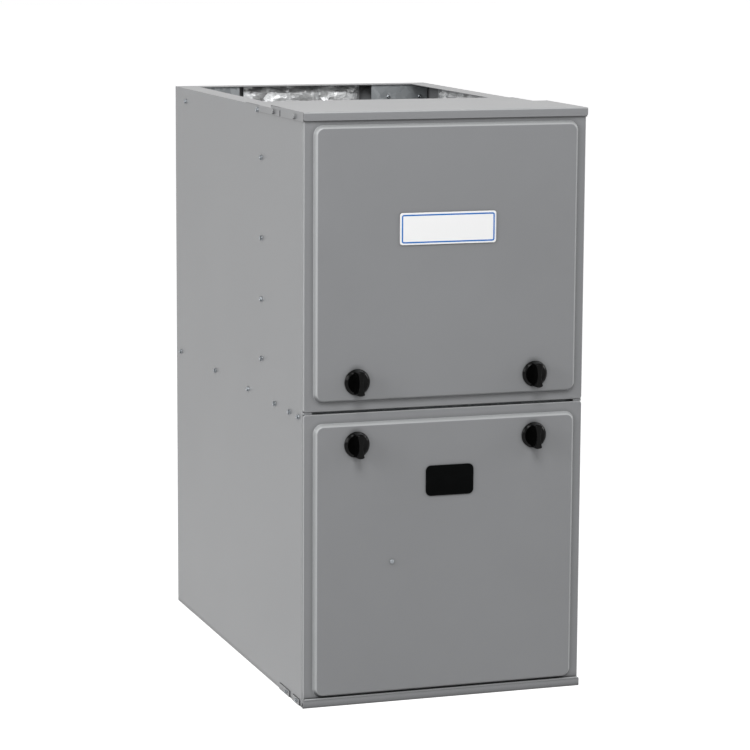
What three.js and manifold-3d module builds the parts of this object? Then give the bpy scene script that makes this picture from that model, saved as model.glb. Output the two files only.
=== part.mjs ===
// A forced-air gas furnace: an upright condensing furnace in a grey sheet-metal cabinet.
// Millimetres, +Z up, +Y towards the rear, +X to the right of someone facing the doors.
// The pieces are built with the front lip's face at y = 0 and the floor at z = 0. The last
// group moves them so that the origin is the middle of the bounding box's bottom face.
import * as THREE from 'three';
import { mergeVertices } from 'three/addons/utils/BufferGeometryUtils.js';
import ManifoldModule from 'manifold-3d';

const wasm = await ManifoldModule();
wasm.setup();

// ---------------------------------------------------------------- driving dimensions

// Cabinet
const width = 444.5; // over the skirts of the front cap
const height = 889; // floor to the top of the front cap
const depth = 730; // face of the front lip to the outside of the rear wall
const sheet = 1; // cabinet sheet
const gap = 0.3; // between pieces that touch
const bendRadius = 1.5; // inside radius of a bend
const frontFlange = 13; // casing's return behind the doors
const topFlange = 34; // duct flange round the supply opening
const bottomFlange = 20;
const flangeRelief = 22; // where the front return is cut away for the doors' tucked edges

// Top cap, deck and sill
const capStep = 3; // hollow between the cap's plate and the deck
const capDepth = 165;
const lipHeight = 12.5;
const lipRound = 3;
const cornerSlit = 2; // open corner between a lip and its side skirt
const skirtHeight = 14;
const capSkirtEnd = 117;
const skirtSlot = 4; // between the cap's skirt and the deck's skirt
const deckSkirtEnd = 229;
const deckRear = 305;
const sillHeight = 14;
const sillDepth = 125;
const tabHeight = 9.5;
const sillTabs = [[20, 55], [70, 122]]; // front and rear of each side tab

// Doors
const doorSetback = 2.5; // lip face to the door's flat margin
const doorReturn = 8.7; // depth of the door's bent edge
const doorSideGap = 0.5; // door edge to the casing's inner face
const seamHeight = 446;
const seamGap = 3.5;
const doorTuck = 4; // how far the upper door reaches up behind the lip
const sillTuck = 10; // how far the lower door reaches down behind the sill
const doorMargin = 15; // door edge to the start of the raised field
const fieldBevel = 7;
const fieldRise = 6;
const fieldCorner = 16;
const doorCorner = 4;
const doorBend = 1.6;

// Front fittings
const knobInset = 81.75; // knob axis from the side of the cabinet
const knobAbove = 45; // upper knobs above the seam
const knobBelow = 48.5; // lower knobs below it
const knobRadius = 19.5;
const knobDisc = 4.5;
const knobReach = 22.5; // field to the end of the grip
const studRadius = 4.5;
const tongueLength = 28;
const tongueWidth = 6;
const tongueThick = 5;
const latchPlay = 1; // round the stud and the tongue in the rail
const windowSide = 6;
const windowBelow = 109.5; // window's middle below the seam
const windowWide = 75.5;
const windowTall = 46;
const windowCorner = 8;
const windowFlange = 3;
const windowThick = 1.5;
const badgeWide = 151;
const badgeTall = 47.5;
const badgeBelow = 173.5; // badge's middle below the top
const badgeThick = 1.5;
const badgeCorner = 4;

// Screws that hold the cap and the deck: [distance behind the lip, height below the top]
const screwHead = 3.4;
const screwAcross = 6.4;
const screwWasher = 4.2;
const capScrew = [44.5, 9];
const deckScrew = [151, 9];

// Blower shelf and latch rail
const shelfFlange = 16;
const railSetback = 20; // lip face to the latch rail
const railAbove = 30; // rail's reach above and below the shelf
const railBelow = 30;
const earHalf = 25; // half width of the ear behind each knob
const earReach = 24; // ear past the knob's axis

// Vestibule
const vestibuleRear = 228; // lip face to the rear of the vestibule panel
const vestibuleFlange = 16;

// Heat exchanger
const cellCount = 4;
const cellPitch = 70;
const cellPlate = 1.6;
const cellHalf = 13; // half width of a passage
const cellTopGap = 24; // top flange to the cells
const cellLowGap = 42.7; // secondary exchanger to the cells
const passShares = [0.31, 0.236, 0.184]; // height of each passage as a share of the cell's
const pitchShares = [0.384, 0.31]; // spacing of the passages, likewise
const cellLip = 8; // plate beyond the passages
const cellCorner = 14;
const cellRearGap = 89; // rear wall to the cells
const couplingDepth = 50;
const couplingWall = 2;
const couplingReach = 66; // box above the cells' lower edge
const couplingCorner = 14;
const secondaryHeight = 86;
const secondaryLift = 14; // above the blower shelf
const secondaryHalf = 168;
const finPitch = 30;
const finThick = 3;
const finReach = 9;

// Insulation and baffles at the supply opening
const insulation = 12;
const linerHalf = 103;
const linerLength = 320;
const sideLinerGap = 91; // rear wall to the side liners
const baffleInner = 117;
const baffleStandoff = 28;

// Burners and gas train
const burnerLength = 112;
const burnerMouth = 17;
const burnerThroat = 10;
const burnerHead = 19;
const burnerWall = 1.2;
const burnerSides = 9;
const carrierSetback = 62; // carrier plate ahead of the vestibule panel
const carrierTall = 70;
const manifoldRadius = 10.5;
const manifoldAhead = 22; // manifold axis ahead of the burner mouths
const manifoldEnd = 26; // pipe beyond the outer burners
const strapThick = 3;
const spudRadius = 5;
const valveWide = 84;
const valveDeep = 72;
const valveTall = 92;
const valveDrop = 40; // manifold axis to the top of the valve
const valveKnob = 12;

// Inducer and condensate
const collectorHalf = 160;
const collectorDeep = 42;
const collectorTall = 100;
const collectorLift = 16;
const collectorWall = 3;
const collectorRim = 6;
const inducerRadius = 72;
const inducerDeep = 52;
const inducerWall = 3;
const inducerSide = -18;
const inducerLift = 6; // above the blower shelf
const inducerEye = 24;
const inducerWheel = 52;
const inducerShaft = 4;
const inducerBlades = 10;
const inducerMotorRadius = 42;
const inducerMotorLength = 58;
const ventRadius = 30;
const ventLength = 70;
const trapWide = 54;
const trapDeep = 48;
const trapTall = 76;
const trapNipple = 10;
const trapLid = 2; // lid's overhang round the cup
const drainNipple = 10;
const drainSide = -112;
const hoseRadius = 6;

// Blower
const wheelRadius = 127;
const wheelInner = 104;
const wheelHalf = 100;
const wheelBlades = 28;
const bladeThick = 1.2;
const scrollStart = 140; // scroll radius at the cut-off
const scrollEnd = 196; // scroll radius at the outlet
const scrollHalf = 115; // half width of the housing, inside
const scrollSheet = 1.5;
const blowerBack = 440; // lip face to the blower's axis
const blowerDrop = 222; // shelf to the blower's axis
const blowerFlange = 16;
const shaftRadius = 6.35;
const shaftPlay = 0.3;
const motorRadius = 68;
const motorLength = 120;
const bandWide = 22;
const armWide = 20;
const armThick = 3;

// Controls
const traySetback = 150;
const trayHalf = 130;
const trayTall = 215;
const boardWide = 160;
const boardTall = 112;
const boardThick = 1.6;
const boardStandoff = 8;
const switchSide = 88;
const switchBelow = 16; // shelf to the middle of the door switch
const switchHalf = 9;
const switchTravel = 6;

// ---------------------------------------------------------------- derived places

const halfWidth = width / 2;
const knobSide = halfWidth - knobInset;
const windowHeight = seamHeight - windowBelow;
const badgeHeight = height - badgeBelow;
const casingHalf = halfWidth - sheet - gap;
const innerHalf = casingHalf - sheet;
const fitHalf = innerHalf - gap; // pieces that fit between the side walls
const casingFront = doorSetback + doorReturn + gap;
const rearInner = depth - sheet;
const deckTop = height - sheet - capStep;
const casingTop = deckTop - sheet - gap;
const doorHalf = innerHalf - doorSideGap;
const fieldFace = doorSetback - fieldRise;
const shelfTop = seamHeight;
const shelfUnder = shelfTop - sheet;
const vestibuleFront = vestibuleRear - sheet;
const cellFront = vestibuleRear + gap;
const cellRear = rearInner - cellRearGap;
const sideLinerRear = rearInner - sideLinerGap;
const secondaryFloor = shelfTop + secondaryLift;
const secondaryTop = secondaryFloor + secondaryHeight;
const cellUpper = casingTop - cellTopGap;
const cellLower = secondaryTop + cellLowGap;
const passHeights = passShares.map((share) => share * (cellUpper - cellLower));
const passPitch = pitchShares.map((share) => share * (cellUpper - cellLower));
const cellTop = cellUpper - cellLip - passHeights[0] / 2; // middle of the first passage
const lastPass = cellTop - passPitch[0] - passPitch[1];
const burnerHeight = cellTop;
const burnerRear = vestibuleFront - gap;
const burnerFront = burnerRear - burnerLength;
const carrierFace = vestibuleFront - carrierSetback;
const manifoldBack = burnerFront - manifoldAhead;
const collectorFloor = shelfTop + collectorLift;
const inducerHeight = shelfTop + inducerLift + inducerRadius;
const inducerRear = vestibuleFront - gap - collectorDeep - gap;
const blowerHeight = shelfTop - blowerDrop;
const motorStart = 16;
const trayFront = traySetback - gap - boardStandoff;

// ---------------------------------------------------------------- shape helpers

const X = new THREE.Vector3(1, 0, 0);
const Y = new THREE.Vector3(0, 1, 0);
const Z = new THREE.Vector3(0, 0, 1);

// A profile drawn in (y, z), (x, z) or (x, y) is swept along the remaining axis.
const profileFrames = {
  x: new THREE.Matrix4().makeBasis(Y, Z, X),
  y: new THREE.Matrix4().makeBasis(X, Z, Y.clone().negate()),
  z: new THREE.Matrix4(),
};

// Turns a closed three.js geometry into a solid whose faces point out.
function solid(geometry) {
  const bare = new THREE.BufferGeometry();
  bare.setAttribute('position', geometry.getAttribute('position'));
  bare.setIndex(geometry.getIndex());
  const merged = mergeVertices(bare, 1e-3);
  const points = Float32Array.from(merged.getAttribute('position').array);
  const corners = merged.getIndex().array;
  const faces = [];
  for (let i = 0; i < corners.length; i += 3) {
    const [a, b, c] = [corners[i], corners[i + 1], corners[i + 2]];
    if (a !== b && b !== c && c !== a) faces.push([a, b, c]);
  }
  const inward = signedVolume(points, faces) < 0;
  const ordered = faces.map(([a, b, c]) => (inward ? [a, c, b] : [a, b, c]));
  const mesh = new wasm.Mesh({
    numProp: 3,
    vertProperties: points,
    triVerts: Uint32Array.from(ordered.flat()),
  });
  return new wasm.Manifold(mesh);
}

function signedVolume(points, faces) {
  const corner = (i) => new THREE.Vector3().fromArray(points, 3 * i);
  let total = 0;
  for (const [a, b, c] of faces) total += corner(a).dot(corner(b).cross(corner(c))) / 6;
  return total;
}

function block(x0, x1, y0, y1, z0, z1) {
  const box = new THREE.BoxGeometry(x1 - x0, y1 - y0, z1 - z0);
  box.translate((x0 + x1) / 2, (y0 + y1) / 2, (z0 + z1) / 2);
  return solid(box);
}

function extrude(axis, shape, from, to, curveSegments = 3) {
  const geometry = new THREE.ExtrudeGeometry(shape, {
    depth: to - from,
    bevelEnabled: false,
    curveSegments,
  });
  geometry.applyMatrix4(profileFrames[axis]);
  if (axis === 'x') geometry.translate(from, 0, 0);
  if (axis === 'y') geometry.translate(0, to, 0);
  if (axis === 'z') geometry.translate(0, 0, from);
  return solid(geometry);
}

// Revolves a closed profile of [radius, distance along the axis] about an axis.
function revolve(axis, profile, centre, segments = 24) {
  const points = profile.map(([r, a]) => new THREE.Vector2(r, a));
  const geometry = new THREE.LatheGeometry(points, segments);
  if (axis === 'x') geometry.rotateZ(-Math.PI / 2);
  if (axis === 'z') geometry.rotateX(Math.PI / 2);
  geometry.translate(...centre);
  return solid(geometry);
}

function cylinder(axis, radius, from, to, centre, segments = 24) {
  return revolve(axis, [[0, from], [radius, from], [radius, to], [0, to]], centre, segments);
}

function ring(axis, inner, outer, from, to, centre, segments = 24) {
  const profile = [[inner, from], [outer, from], [outer, to], [inner, to], [inner, from]];
  return revolve(axis, profile, centre, segments);
}

function roundedRect(u0, u1, v0, v1, r) {
  const shape = new THREE.Shape();
  shape.moveTo(u0 + r, v0);
  shape.lineTo(u1 - r, v0);
  shape.absarc(u1 - r, v0 + r, r, -Math.PI / 2, 0, false);
  shape.lineTo(u1, v1 - r);
  shape.absarc(u1 - r, v1 - r, r, 0, Math.PI / 2, false);
  shape.lineTo(u0 + r, v1);
  shape.absarc(u0 + r, v1 - r, r, Math.PI / 2, Math.PI, false);
  shape.lineTo(u0, v0 + r);
  shape.absarc(u0 + r, v0 + r, r, Math.PI, 1.5 * Math.PI, false);
  return shape;
}

// Rounds the inner corners of an open polyline. radii has one radius for each corner.
function filleted(points, radii, steps = 3) {
  const out = [points[0]];
  for (let i = 1; i < points.length - 1; i += 1) {
    const before = points[i - 1].clone().sub(points[i]).normalize();
    const after = points[i + 1].clone().sub(points[i]).normalize();
    const half = Math.acos(THREE.MathUtils.clamp(before.dot(after), -1, 1)) / 2;
    const reach = radii[i - 1] / Math.tan(half);
    const middle = before.clone().add(after).normalize();
    const centre = points[i].clone().addScaledVector(middle, radii[i - 1] / Math.sin(half));
    const start = points[i].clone().addScaledVector(before, reach).sub(centre);
    const end = points[i].clone().addScaledVector(after, reach).sub(centre);
    let turn = end.angle() - start.angle();
    if (turn > Math.PI) turn -= 2 * Math.PI;
    if (turn < -Math.PI) turn += 2 * Math.PI;
    for (let k = 0; k <= steps; k += 1) {
      const arm = start.clone().rotateAround(new THREE.Vector2(), (turn * k) / steps);
      out.push(arm.add(centre));
    }
  }
  out.push(points[points.length - 1]);
  return out;
}

// The section of a bent sheet. The polyline is one face, and the metal lies to its left.
function bentSheet(corners, thick = sheet, radius = bendRadius) {
  const face = corners.map(([u, v]) => new THREE.Vector2(u, v));
  const normals = face.slice(1).map((p, i) => {
    const d = p.clone().sub(face[i]).normalize();
    return new THREE.Vector2(-d.y, d.x);
  });
  const back = face.map((p, i) => {
    const before = normals[Math.max(i - 1, 0)];
    const after = normals[Math.min(i, normals.length - 1)];
    const mean = before.clone().add(after);
    return p.clone().addScaledVector(mean, (2 * thick) / mean.lengthSq());
  });
  const turns = normals.slice(1).map((n, i) => normals[i].cross(n));
  const faceRadii = turns.map((turn) => (turn > 0 ? radius + thick : radius));
  const backRadii = turns.map((turn) => (turn > 0 ? radius : radius + thick));
  const outline = filleted(face, faceRadii).concat(filleted(back, backRadii).reverse());
  return new THREE.Shape(outline);
}

// A closed skin through rings that all have the same number of points, with flat ends.
function loft(rings) {
  const count = rings[0].length;
  const faces = [];
  for (let i = 0; i + 1 < rings.length; i += 1) {
    for (let k = 0; k < count; k += 1) {
      const next = (k + 1) % count;
      const [a, b] = [i * count + k, i * count + next];
      faces.push(a, b, b + count, a, b + count, a + count);
    }
  }
  const last = (rings.length - 1) * count;
  for (let k = 1; k + 1 < count; k += 1) {
    faces.push(0, k + 1, k);
    faces.push(last, last + k, last + k + 1);
  }
  const geometry = new THREE.BufferGeometry().setFromPoints(rings.flat());
  geometry.setIndex(faces);
  return solid(geometry);
}

// A round hose or pipe through the given points.
function hose(points, radius, sides = 8, steps = 24) {
  const path = new THREE.CatmullRomCurve3(points.map((p) => new THREE.Vector3(...p)));
  const outline = [];
  for (let k = 0; k < sides; k += 1) {
    const angle = (2 * Math.PI * k) / sides;
    outline.push(new THREE.Vector2(radius * Math.cos(angle), radius * Math.sin(angle)));
  }
  const shape = new THREE.Shape(outline);
  return solid(new THREE.ExtrudeGeometry(shape, { extrudePath: path, steps }));
}

function join(...pieces) {
  return pieces.flat().reduce((whole, piece) => whole.add(piece));
}

function cut(whole, ...tools) {
  return tools.flat().reduce((rest, tool) => rest.subtract(tool), whole);
}

const bothSides = (make) => [make(-1), make(1)];
const span = (side, inner, outer) => (side < 0 ? [-outer, -inner] : [inner, outer]);

// A hexagon head on its washer, standing out of a side face.
function sideScrew(side, face, back, up) {
  const sink = sheet / 2;
  const washer = [[0, -sink], [screwWasher, -sink], [screwWasher, 0.8], [0, 1.1]];
  const reach = washer.map(([r, a]) => [r, side * a]);
  const across = screwAcross / Math.sqrt(3);
  const head = [[0, 0], [across, 0], [across, side * (screwHead - 0.6)],
    [across - 1, side * screwHead], [0, side * screwHead]];
  const centre = [side * face, back, up];
  return join(revolve('x', reach, centre, 10), revolve('x', head, centre, 6));
}

// ---------------------------------------------------------------- cabinet

// A ring of sheet just inside the walls, open towards the doors: the inward flanges.
function wallFlange(wide, front, low) {
  const half = casingHalf - sheet / 2;
  const rear = depth - sheet / 2;
  const plate = rearRoundedPlate(half, front, rear, bendRadius + sheet / 2, low);
  const inside = casingHalf - wide;
  return plate.subtract(block(-inside, inside, front - 1, depth - wide, low - 1, low + 2));
}

// A plate of sheet whose two rear corners are rounded.
function rearRoundedPlate(half, front, rear, radius, low) {
  const shape = new THREE.Shape();
  shape.moveTo(-half, front);
  shape.lineTo(half, front);
  shape.lineTo(half, rear - radius);
  shape.absarc(half - radius, rear - radius, radius, 0, Math.PI / 2, false);
  shape.lineTo(-half + radius, rear);
  shape.absarc(-half + radius, rear - radius, radius, Math.PI / 2, Math.PI, false);
  return extrude('z', shape, low, low + sheet);
}

function casing() {
  const plan = bentSheet([
    [casingHalf - frontFlange, casingFront], [casingHalf, casingFront], [casingHalf, depth],
    [-casingHalf, depth], [-casingHalf, casingFront], [-casingHalf + frontFlange, casingFront],
  ]);
  const walls = extrude('z', plan, 0, casingTop);
  const flanges = [
    wallFlange(topFlange, casingFront + sheet / 2, casingTop - sheet),
    wallFlange(bottomFlange, sillDepth, 0),
  ];
  const reliefs = [[-1, flangeRelief], [casingTop - flangeRelief, casingTop - sheet]];
  const notches = reliefs.map(([z0, z1]) => {
    const behind = casingFront + sheet + bendRadius;
    return block(-innerHalf, innerHalf, casingFront - 1, behind, z0, z1);
  });
  const overSill = block(-halfWidth, halfWidth, 0, sillDepth + 1, -1, sheet + gap);
  return cut(join(walls, flanges), notches, overSill);
}

// A flat plate between the side walls, rounded to clear the bends of the rear corners.
function fittedPlate(front, low) {
  return rearRoundedPlate(fitHalf, front, rearInner - gap, 2 * bendRadius, low);
}

function bottomPanel() {
  const floor = sheet + gap;
  return fittedPlate(sillDepth + 1, floor);
}

function bottomSill() {
  const profile = bentSheet([[0, sillHeight], [0, 0], [sillDepth, 0]]);
  const base = extrude('x', profile, -halfWidth, halfWidth);
  const tabs = bothSides((side) => {
    const [x0, x1] = span(side, halfWidth - sheet, halfWidth);
    return sillTabs.map(([y0, y1]) => block(x0, x1, y0, y1, 0, tabHeight));
  });
  const trims = bothSides((side) => {
    const [x0, x1] = span(side, halfWidth - sheet, halfWidth + 1);
    const [front, rear] = sillTabs;
    return [
      block(x0, x1, sheet + cornerSlit, front[0], -1, sillHeight),
      block(x0, x1, front[1], rear[0], -1, sillHeight),
      block(x0, x1, rear[1], sillDepth + 1, -1, sillHeight),
    ];
  });
  const corners = bothSides((side) => lipCorner(side, sillHeight, 1, lipRound));
  return cut(join(base, tabs.flat()), trims.flat(), corners);
}

// What is trimmed off to round an outer corner of a lip: up is 1 for an upper corner.
function lipCorner(side, edge, up, radius) {
  const [x0, x1] = span(side, halfWidth - radius, halfWidth + 1);
  const [z0, z1] = up > 0 ? [edge - radius, edge + 1] : [edge - 1, edge + radius];
  const corner = block(x0, x1, -1, sheet + 0.1, z0, z1);
  const centre = [side * (halfWidth - radius), 0, edge - up * radius];
  return corner.subtract(cylinder('y', radius, -2, sheet + 2, centre, 16));
}

function topFrontCap() {
  const under = deckTop + gap;
  const profile = bentSheet([
    [capDepth, under], [capDepth, height], [0, height], [0, height - lipHeight],
  ]);
  const plate = extrude('x', profile, -halfWidth, halfWidth);
  const skirts = bothSides((side) => {
    const [x0, x1] = span(side, halfWidth - sheet, halfWidth);
    return block(x0, x1, sheet + cornerSlit, capSkirtEnd, height - skirtHeight, height);
  });
  const corners = bothSides((side) => lipCorner(side, height - lipHeight, -1, lipRound));
  const [back, down] = capScrew;
  const screws = bothSides((side) => sideScrew(side, halfWidth, back, height - down));
  return join(cut(join(plate, skirts), corners), screws);
}

function topDeck() {
  const front = railSetback;
  const plate = block(-casingHalf, casingHalf, front, deckRear, deckTop - sheet, deckTop);
  const skirtFront = capSkirtEnd + skirtSlot;
  const outer = halfWidth - sheet;
  const under = deckTop - sheet;
  const wings = bothSides((side) => {
    const corners = [[side * outer, height - skirtHeight], [side * outer, under],
      [side * (casingHalf - 2), under]];
    const shape = bentSheet(side < 0 ? corners : corners.reverse(), sheet, gap);
    return extrude('y', shape, skirtFront, deckSkirtEnd);
  });
  const [back, down] = deckScrew;
  const screws = bothSides((side) => sideScrew(side, halfWidth, back, height - down));
  return join(plate, wings, screws);
}

// ---------------------------------------------------------------- doors and fittings

// The outline of a rounded rectangle as a ring of points at distance y.
function rectRing(x0, x1, z0, z1, radius, y, steps = 3) {
  const centres = [
    [x1 - radius, z0 + radius, -0.5], [x1 - radius, z1 - radius, 0],
    [x0 + radius, z1 - radius, 0.5], [x0 + radius, z0 + radius, 1],
  ];
  return centres.flatMap(([cx, cz, quarter]) => {
    const arc = [];
    for (let k = 0; k <= steps; k += 1) {
      const angle = Math.PI * (quarter + (0.5 * k) / steps);
      arc.push(new THREE.Vector3(cx + radius * Math.cos(angle), y,
        cz + radius * Math.sin(angle)));
    }
    return arc;
  });
}

// A pressed door: bent edges, a flat margin and a raised field with an S-shaped bevel.
function pressedDoor(bottom, top) {
  const rim = doorSetback + doorReturn;
  const nested = (inset, radius, y) => rectRing(
    -doorHalf + inset, doorHalf - inset, bottom + inset, top - inset, radius, y,
  );
  const bevel = [1, 0.75, 0.5, 0.25, 0].map((s) => ({
    inset: doorMargin + fieldBevel * s,
    radius: fieldCorner - 0.5 * fieldBevel * s,
    y: doorSetback - fieldRise * THREE.MathUtils.smoothstep(s, 0, 1),
  }));
  const edge = [0, 0.5, 1].map((s) => {
    const angle = (Math.PI / 2) * s;
    const inset = doorBend * (1 - Math.sin(angle));
    return { inset, y: doorSetback + doorBend * (1 - Math.cos(angle)) };
  });
  const front = bevel.map(({ inset, radius, y }) => nested(inset, radius, y))
    .concat(edge.map(({ inset, y }) => nested(inset, doorCorner - inset, y)))
    .concat([nested(0, doorCorner, rim)]);
  const inner = doorBend - sheet;
  const behind = bevel.filter((_, i) => i % 2 === 0).reverse();
  const back = [nested(sheet, doorCorner - sheet, rim)]
    .concat([nested(sheet, doorCorner - sheet, doorSetback + doorBend)])
    .concat([nested(sheet + inner, doorCorner - sheet - inner, doorSetback + sheet)])
    .concat(behind.map(({ inset, radius, y }) => nested(inset, radius, y + sheet)));
  return loft(front.concat(back));
}

function knobHoles(height) {
  return bothSides((side) => {
    const centre = [side * knobSide, 0, height];
    return cylinder('y', studRadius + latchPlay, fieldFace - 2, doorSetback, centre, 12);
  });
}

const upperKnobHeight = seamHeight + knobAbove;
const lowerKnobHeight = seamHeight - knobBelow;

function upperDoor() {
  const door = pressedDoor(seamHeight + seamGap / 2, height - lipHeight + doorTuck);
  return cut(door, knobHoles(upperKnobHeight));
}

function windowOutline(inset) {
  const [halfWide, halfTall] = [windowWide / 2 - inset, windowTall / 2 - inset];
  return roundedRect(windowSide - halfWide, windowSide + halfWide,
    windowHeight - halfTall, windowHeight + halfTall, windowCorner - inset);
}

function lowerDoor() {
  const door = pressedDoor(sillHeight - sillTuck, seamHeight - seamGap / 2);
  const opening = extrude('y', windowOutline(windowFlange), fieldFace - 2, doorSetback);
  return cut(door, knobHoles(lowerKnobHeight), opening);
}

function sightGlass() {
  const front = fieldFace - gap;
  const flange = extrude('y', windowOutline(0), front - windowThick, front);
  const body = extrude('y', windowOutline(windowFlange + gap), front - 1, fieldFace + sheet + 1.5);
  return join(flange, body);
}

function badgePlate() {
  const half = badgeWide / 2;
  const [low, high] = [badgeHeight - badgeTall / 2, badgeHeight + badgeTall / 2];
  const back = fieldFace - gap;
  return extrude('y', roundedRect(-half, half, low, high, badgeCorner), back - badgeThick, back);
}

// A quarter-turn knob: disc, hourglass grip, stud and the tongue that locks behind the rail.
function knob(side, up) {
  const back = fieldFace - gap;
  const end = fieldFace - knobReach;
  const tongueBack = railSetback + sheet + latchPlay + tongueThick;
  const centre = [side * knobSide, 0, up];
  const profile = [
    [0, end + 3], [4, end + 3], [4, back - knobDisc], [knobRadius - 3.5, back - knobDisc],
    [knobRadius, back - 1.5], [knobRadius, back], [studRadius, back],
    [studRadius, tongueBack], [0, tongueBack],
  ];
  const body = revolve('y', profile, centre, 16);
  const reach = knobRadius - 0.6;
  const grip = new THREE.Shape();
  grip.moveTo(-5.5, -reach + 1.5);
  grip.quadraticCurveTo(0, -reach - 1, 5.5, -reach + 1.5);
  grip.quadraticCurveTo(0.6, 0, 5.5, reach - 1.5);
  grip.quadraticCurveTo(0, reach + 1, -5.5, reach - 1.5);
  grip.quadraticCurveTo(-0.6, 0, -5.5, -reach + 1.5);
  const bar = new THREE.ExtrudeGeometry(grip, {
    depth: knobReach - gap - 2.6, bevelThickness: 1.2, bevelSize: 0.8, bevelSegments: 1,
    bevelOffset: -0.8, curveSegments: 3,
  });
  bar.applyMatrix4(profileFrames.y);
  bar.translate(side * knobSide, back - 1.4, up);
  const x = side * knobSide;
  const tongue = block(x - tongueWidth / 2, x + tongueWidth / 2,
    tongueBack - tongueThick, tongueBack, up - tongueLength / 2, up + tongueLength / 2);
  return join(body, solid(bar), tongue);
}

// ---------------------------------------------------------------- blower shelf

const outletFront = blowerBack + scrollStart * Math.cos(THREE.MathUtils.degToRad(125));
const outletRear = blowerBack + scrollEnd;

function blowerShelf() {
  const rear = rearInner - gap - 2 * bendRadius;
  const plate = fittedPlate(railSetback, shelfUnder);
  const flanges = bothSides((side) => {
    const [x0, x1] = span(side, fitHalf - sheet, fitHalf);
    return block(x0, x1, railSetback, rear, shelfTop - shelfFlange, shelfTop);
  });
  const railBack = railSetback + sheet;
  const rail = block(-fitHalf, fitHalf, railSetback, railBack,
    shelfTop - railBelow, shelfTop + railAbove);
  const ears = bothSides((side) => {
    const shape = roundedRect(side * knobSide - earHalf, side * knobSide + earHalf,
      lowerKnobHeight - earReach, upperKnobHeight + earReach, 6);
    return extrude('y', shape, railSetback, railBack, 2);
  });
  const outlet = block(-scrollHalf, scrollHalf, outletFront, outletRear,
    shelfUnder - 1, shelfTop + 1);
  const [low, high] = [shelfTop - switchBelow - switchHalf, shelfTop - switchBelow + switchHalf];
  const switchHole = block(switchSide - switchHalf - gap, switchSide + switchHalf + gap,
    railSetback - 1, railBack + 1, low - gap, high + gap);
  const slots = bothSides((side) => [
    latchSlot(side * knobSide, upperKnobHeight), latchSlot(side * knobSide, lowerKnobHeight),
  ]);
  return cut(join(plate, flanges, rail, ears), outlet, switchHole, slots.flat());
}

function latchSlot(x, up) {
  const half = tongueWidth / 2 + latchPlay;
  const reach = tongueLength / 2 + 2 * latchPlay;
  const [front, back] = [railSetback - 1, railSetback + sheet + 1];
  const hole = cylinder('y', studRadius + latchPlay, front, back, [x, 0, up], 12);
  return join(block(x - half, x + half, front, back, up - reach, up + reach), hole);
}

// ---------------------------------------------------------------- vestibule and exchanger

const cellPlaces = Array.from({ length: cellCount },
  (_, i) => (i - (cellCount - 1) / 2) * cellPitch);

function vestibulePanel() {
  const [floor, top] = [shelfTop + gap, casingTop - sheet - gap];
  const front = vestibuleRear - vestibuleFlange;
  const outer = block(-fitHalf, fitHalf, front, vestibuleRear, floor, top);
  const inner = block(-fitHalf + sheet, fitHalf - sheet, front - 1, vestibuleFront,
    floor + sheet, top - sheet);
  const ports = cellPlaces.map((x) => cylinder('y', burnerHead + 3, vestibuleFront - 1,
    vestibuleRear + 1, [x, 0, burnerHeight], 14));
  const middle = collectorFloor + collectorTall / 2;
  const passage = block(-collectorHalf + 20, collectorHalf - 20, vestibuleFront - 1,
    vestibuleRear + 1, middle - 24, middle + 24);
  const limitHole = cylinder('y', limitStem + gap, vestibuleFront - 1, vestibuleRear + 1,
    [0, 0, limitHeight], 16);
  return cut(outer, inner, ports, passage, limitHole);
}

// The middle line of the serpentine with the passage height at each of its points.
function serpentine() {
  const stations = [];
  const [first, second] = passPitch;
  const rearTurn = cellRear - couplingDepth - first / 2;
  const frontTurn = cellFront + 34 + second / 2;
  const along = (y0, y1, z, tall, steps) => {
    for (let k = 0; k <= steps; k += 1) {
      const y = THREE.MathUtils.lerp(y0, y1, k / steps);
      stations.push({ y, z, angle: y1 > y0 ? 0 : Math.PI, tall });
    }
  };
  const around = (y, z, radius, sense, talls) => {
    const steps = 4;
    for (let k = 1; k < steps; k += 1) {
      const turn = (Math.PI * k) / steps;
      stations.push({
        y: y + sense * radius * Math.sin(turn),
        z: z + radius * Math.cos(turn),
        angle: sense > 0 ? -turn : Math.PI + turn,
        tall: THREE.MathUtils.lerp(talls[0], talls[1], k / steps),
      });
    }
  };
  along(cellFront, rearTurn, cellTop, passHeights[0], 1);
  around(rearTurn, cellTop - first / 2, first / 2, 1, passHeights);
  along(rearTurn, frontTurn, cellTop - first, passHeights[1], 1);
  around(frontTurn, cellTop - first - second / 2, second / 2, -1, passHeights.slice(1));
  along(frontTurn, cellRear, cellTop - first - second, passHeights[2], 1);
  return stations;
}

// One clamshell cell: a serpentine passage pressed out of two plates joined at their rims.
function heatExchangerCell(x) {
  const sides = 8;
  const rings = serpentine().map(({ y, z, angle, tall }) => {
    const points = [];
    for (let k = 0; k < sides; k += 1) {
      const turn = (2 * Math.PI * k) / sides;
      const across = cellHalf * Math.sin(turn);
      const up = (tall / 2) * Math.cos(turn);
      points.push(new THREE.Vector3(x + across, y - up * Math.sin(angle),
        z + up * Math.cos(angle)));
    }
    return points;
  });
  const outline = roundedRect(cellFront, cellRear, cellLower, cellUpper, cellCorner);
  const plate = extrude('x', outline, x - cellPlate / 2, x + cellPlate / 2);
  return join(loft(rings), plate);
}

// The rear box is open at the front, where the cells empty into it.
function rearCouplingBox() {
  const outer = couplingSection(0);
  const inner = couplingSection(couplingWall);
  const half = secondaryHalf - couplingWall;
  return cut(extrude('x', outer, -secondaryHalf, secondaryHalf), extrude('x', inner, -half, half));
}

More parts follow.
